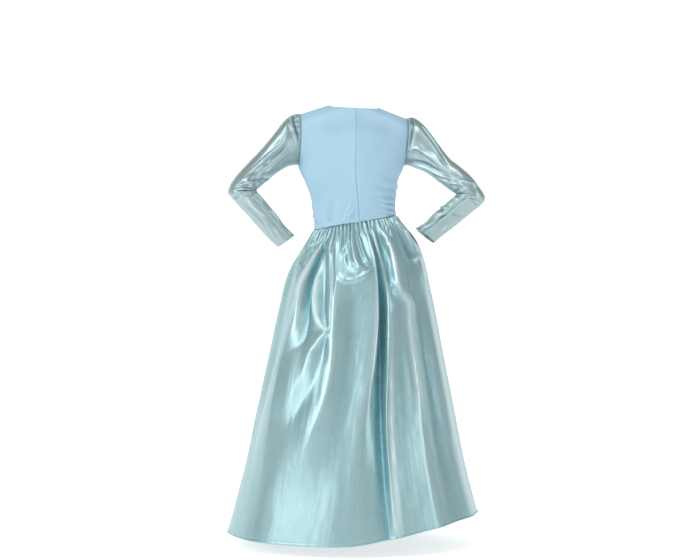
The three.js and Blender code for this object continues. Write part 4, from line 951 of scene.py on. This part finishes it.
def makeStitchTree():
    tree, given, result = newGroup(
        "stitchRow",
        [("Path", "Geometry", None), ("Pitch", "Float", 0.004), ("Length", "Float", 0.003),
         ("Width", "Float", 0.0006), ("Slant", "Float", 0.0), ("Unevenness", "Float", 0.12),
         ("Seed", "Int", 4), ("Thread", "Material", None)],
        [("Stitches", "Geometry")],
        "GeometryNodeTree",
    )

    def made(kind, inputs=(), output=0, **settings):
        return addNode(tree, kind, inputs, **settings).outputs[output]

    curve = made("GeometryNodeMeshToCurve", {0: given["Path"]})
    points = made("GeometryNodeResampleCurve", {"Curve": curve, "Length": given["Pitch"]}, mode="LENGTH")
    bead = made("GeometryNodeMeshUVSphere", {"Segments": 6, "Rings": 5, "Radius": 0.5})
    stored = {"Name": "facing"}
    facing = made("GeometryNodeInputNamedAttribute", stored, "Attribute", data_type="FLOAT_VECTOR")
    axes = {"Primary Axis": facing, "Secondary Axis": made("GeometryNodeInputTangent")}
    turned = made("FunctionNodeAxesToRotation", axes, primary_axis="Z", secondary_axis="X")
    least = mathNode(tree, "MULTIPLY", given["Unevenness"], -1.0)
    spread = {2: least, 3: given["Unevenness"], "Seed": given["Seed"]}
    uneven = made("FunctionNodeRandomValue", spread, 1, data_type="FLOAT")
    angle = made("ShaderNodeCombineXYZ", {2: mathNode(tree, "ADD", given["Slant"], uneven)})
    spin = {"Rotation": turned, "Rotate By": angle}
    rotation = made("FunctionNodeRotateRotation", spin, rotation_space="LOCAL")
    length = mathNode(tree, "MULTIPLY_ADD", given["Length"], uneven, given["Length"])
    size = made("ShaderNodeCombineXYZ", {0: length, 1: given["Width"], 2: given["Width"]})
    placed = {"Points": points, "Instance": bead, "Rotation": rotation, "Scale": size}
    real = made("GeometryNodeRealizeInstances", {0: made("GeometryNodeInstanceOnPoints", placed)})
    smooth = made("GeometryNodeSetShadeSmooth", {0: real})
    tree.links.new(made("GeometryNodeSetMaterial", {0: smooth, "Material": given["Thread"]}), result[0])
    return tree


stitchTree = makeStitchTree()
stitchKinds = {
    "running": {"Pitch": 0.0042, "Length": 0.0031, "Width": 0.0007, "Slant": 0.0, "Unevenness": 0.08},
    "overlock": {"Pitch": 0.0034, "Length": 0.0042, "Width": 0.0009, "Slant": 1.25, "Unevenness": 0.2},
}


def stitchRow(name, cloth, path, kind, inset=0):  # path in millimetres, inset moves it to the left of its way
    path = np.array(path, float)
    way = np.gradient(path, axis=0)
    found = [cloth.closest_point_on_mesh(Vector(p * mm)) for p in path]
    normal = np.array([f[2] for f in found])
    if inset:
        path = path + np.cross(normal, way / np.linalg.norm(way, axis=1, keepdims=True)) * inset
        found = [cloth.closest_point_on_mesh(Vector(p * mm)) for p in path]
        normal = np.array([f[2] for f in found])
    place = np.array([f[1] for f in found]) + normal * 0.0001
    mesh = bpy.data.meshes.new(name)
    mesh.from_pydata(place.tolist(), [(i, i + 1) for i in range(len(place) - 1)], [])
    facing = mesh.attributes.new("facing", "FLOAT_VECTOR", "POINT")
    facing.data.foreach_set("vector", normal.ravel().astype(np.float32))
    row = addObject(name, mesh)
    work = row.modifiers.new("stitches", "NODES")
    work.node_group = stitchTree
    for label, value in {**stitchKinds[kind], "Seed": len(name), "Thread": thread}.items():
        work[stitchTree.interface.items_tree[label].identifier] = value
    made = bpy.data.meshes.new_from_object(row.evaluated_get(bpy.context.evaluated_depsgraph_get()))
    row.modifiers.clear()
    row.data = made
    cloth["stitched"] = [*cloth.get("stitched", []), row.name]
    return row


def outerGrid(piece, rows, columns):
    co = np.empty(len(piece.data.vertices) * 3)
    piece.data.vertices.foreach_get("co", co)
    return co.reshape(-1, 3)[:rows * columns].reshape(rows, columns, 3) / mm


stitches = []
for name, panel in panels.items():
    columns = skirtPanels[name]["gathers"] * skirtPanels[name]["fine"] + 1
    grid = outerGrid(panel, len(panel.data.vertices) // columns, columns)
    stitches.append(stitchRow("hemThread" + name[5:], panel, mix(grid[-1], grid[-3], 0.5), "overlock"))
for sleeve in (sleeveLeft, sleeveRight):
    grid = outerGrid(sleeve, len(sleeve.data.vertices) // sleeves["columns"], sleeves["columns"])
    path = np.concatenate([grid[-10], grid[-10, :1]])
    stitches.append(stitchRow("cuffStitches" + sleeve.name[6:], sleeve, path, "running"))
bodiceRows = bodice["bodyRows"] + bodice["armholeRows"] + 1
for half, side in ((bodiceBackLeft, 1), (bodiceBackRight, -1)):
    grid = outerGrid(half, bodiceRows, bodice["columns"] + 1)
    neck = neckRow(grid[:, 0])
    for label, path, width in (
            ("closureStitches" + half.name[10:], grid[neck + 4:-2, 0], bodice["closureTurn"]),
            ("neckStitches" + half.name[6:], grid[2:neck - 2, 0], bodice["neckTurn"])):
        stitches.append(stitchRow(label, half, path, "running", side * width))
grid = outerGrid(bodiceFront, bodiceRows, 2 * bodice["columns"] + 1)
neck, middle = neckRow(grid[:, bodice["columns"]]), bodice["columns"]
neckPath = np.concatenate([grid[2:neck + 1, middle], grid[neck - 1:1:-1, middle + 1]])
stitches.append(stitchRow("neckStitchesFront", bodiceFront, neckPath, "running", bodice["neckTurn"]))
print("stitches made:", len(stitches), "rows")


# What each piece stands for

knitPieces = [
    (bodiceFront, "bodice_front"), (bodiceBackLeft, "bodice_back_left"),
    (bodiceBackRight, "bodice_back_right"),
]
satinPieces = [
    (sleeveLeft, "sleeve_left"), (sleeveRight, "sleeve_right"), (panels["skirtFront"], "skirt_front"),
    (panels["skirtBackLeft"], "skirt_back_left"), (panels["skirtBackRight"], "skirt_back_right"),
]
for pieces, slotName in ((knitPieces, "knit"), (satinPieces, "satin")):
    for piece, node in pieces:
        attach(piece, "root")
        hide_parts(node)

for row in stitches:
    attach(row, "root")

# Floor, backdrop, lights and camera

stage = {
    "floorZ": -1.061, "floorColor": (0.93, 0.93, 0.93), "back": -5.4, "rise": 7.1,
    "world": 0.29, "key": 46, "fill": 26, "front": 18, "top": 30, "low": 8.5, "floorGlow": 0.64,
    "distance": 4.2, "azimuth": 8, "eyeZ": -0.411, "aside": 0.0085, "lens": 89,
}


def studioFloor():
    back = stage["back"]
    profile = [(9, 0), (-3, 0), (-4.2, 0.12), (-5.0, 0.6), (back, 1.6), (back, stage["rise"])]
    points = [(x, y, stage["floorZ"] + z) for y, z in profile for x in (-12, 12)]
    faces = [(2 * i, 2 * i + 1, 2 * i + 3, 2 * i + 2) for i in range(len(profile) - 1)]
    mesh = bpy.data.meshes.new("studioFloor")
    mesh.from_pydata(points, [], faces)
    mesh.polygons.foreach_set("use_smooth", [True] * len(mesh.polygons))
    material = bpy.data.materials.new("studioFloor")
    material.use_nodes = True
    shader = material.node_tree.nodes["Principled BSDF"]
    shader.inputs["Base Color"].default_value = (*stage["floorColor"], 1)
    shader.inputs["Roughness"].default_value = 0.9
    shader.inputs["Emission Color"].default_value = (1, 1, 1, 1)
    shader.inputs["Emission Strength"].default_value = stage["floorGlow"]
    mesh.materials.append(material)
    floor = addObject("studioFloor", mesh)
    bend = floor.modifiers.new("round", "SUBSURF")
    bend.levels = bend.render_levels = 3


def softLight(name, place, target, size, power):
    lamp = bpy.data.lights.new(name, "AREA")
    lamp.shape = "RECTANGLE"
    lamp.size, lamp.size_y = size
    lamp.energy = power
    light = addObject(name, lamp)
    light.location = place
    light.rotation_euler = (Vector(target) - Vector(place)).to_track_quat("-Z", "Y").to_euler()


studioFloor()
softLight("keyLight", (3.0, 1.9, 1.0), (0, 0.1, -0.45), (0.45, 2.2), stage["key"])
softLight("fillLight", (-3.2, 2.1, 0.4), (0, 0, -0.55), (0.9, 2.2), stage["fill"])
softLight("frontLight", (1.2, 2.6, 2.6), (0, 0, -0.4), (1.6, 1.2), stage["front"])
softLight("topLight", (0.3, 1.6, 2.5), (0, 0, -0.2), (1.0, 0.6), stage["top"])
softLight("lowLight", (2.4, 2.6, 0.1), (0.1, 0.1, -0.9), (0.5, 0.8), stage["low"])
world = bpy.data.worlds.new("studio")
world.use_nodes = True
world.node_tree.nodes["Background"].inputs[0].default_value = (1, 1, 1, 1)
world.node_tree.nodes["Background"].inputs[1].default_value = stage["world"]
bpy.context.scene.world = world
bpy.context.scene.view_settings.view_transform = "Standard"

turn = math.radians(stage["azimuth"])
away = Vector((math.sin(turn), math.cos(turn), 0))
sideways = Vector((math.cos(turn), -math.sin(turn), 0))
lens = bpy.data.cameras.new("camera")
lens.lens, lens.sensor_width = stage["lens"], 36
camera = addObject("camera", lens)
camera.location = away * stage["distance"] + sideways * stage["aside"] + Vector((0, 0, stage["eyeZ"]))
camera.rotation_euler = (-away).to_track_quat("-Z", "Y").to_euler()
bpy.context.scene.camera = camera
print("stage set")
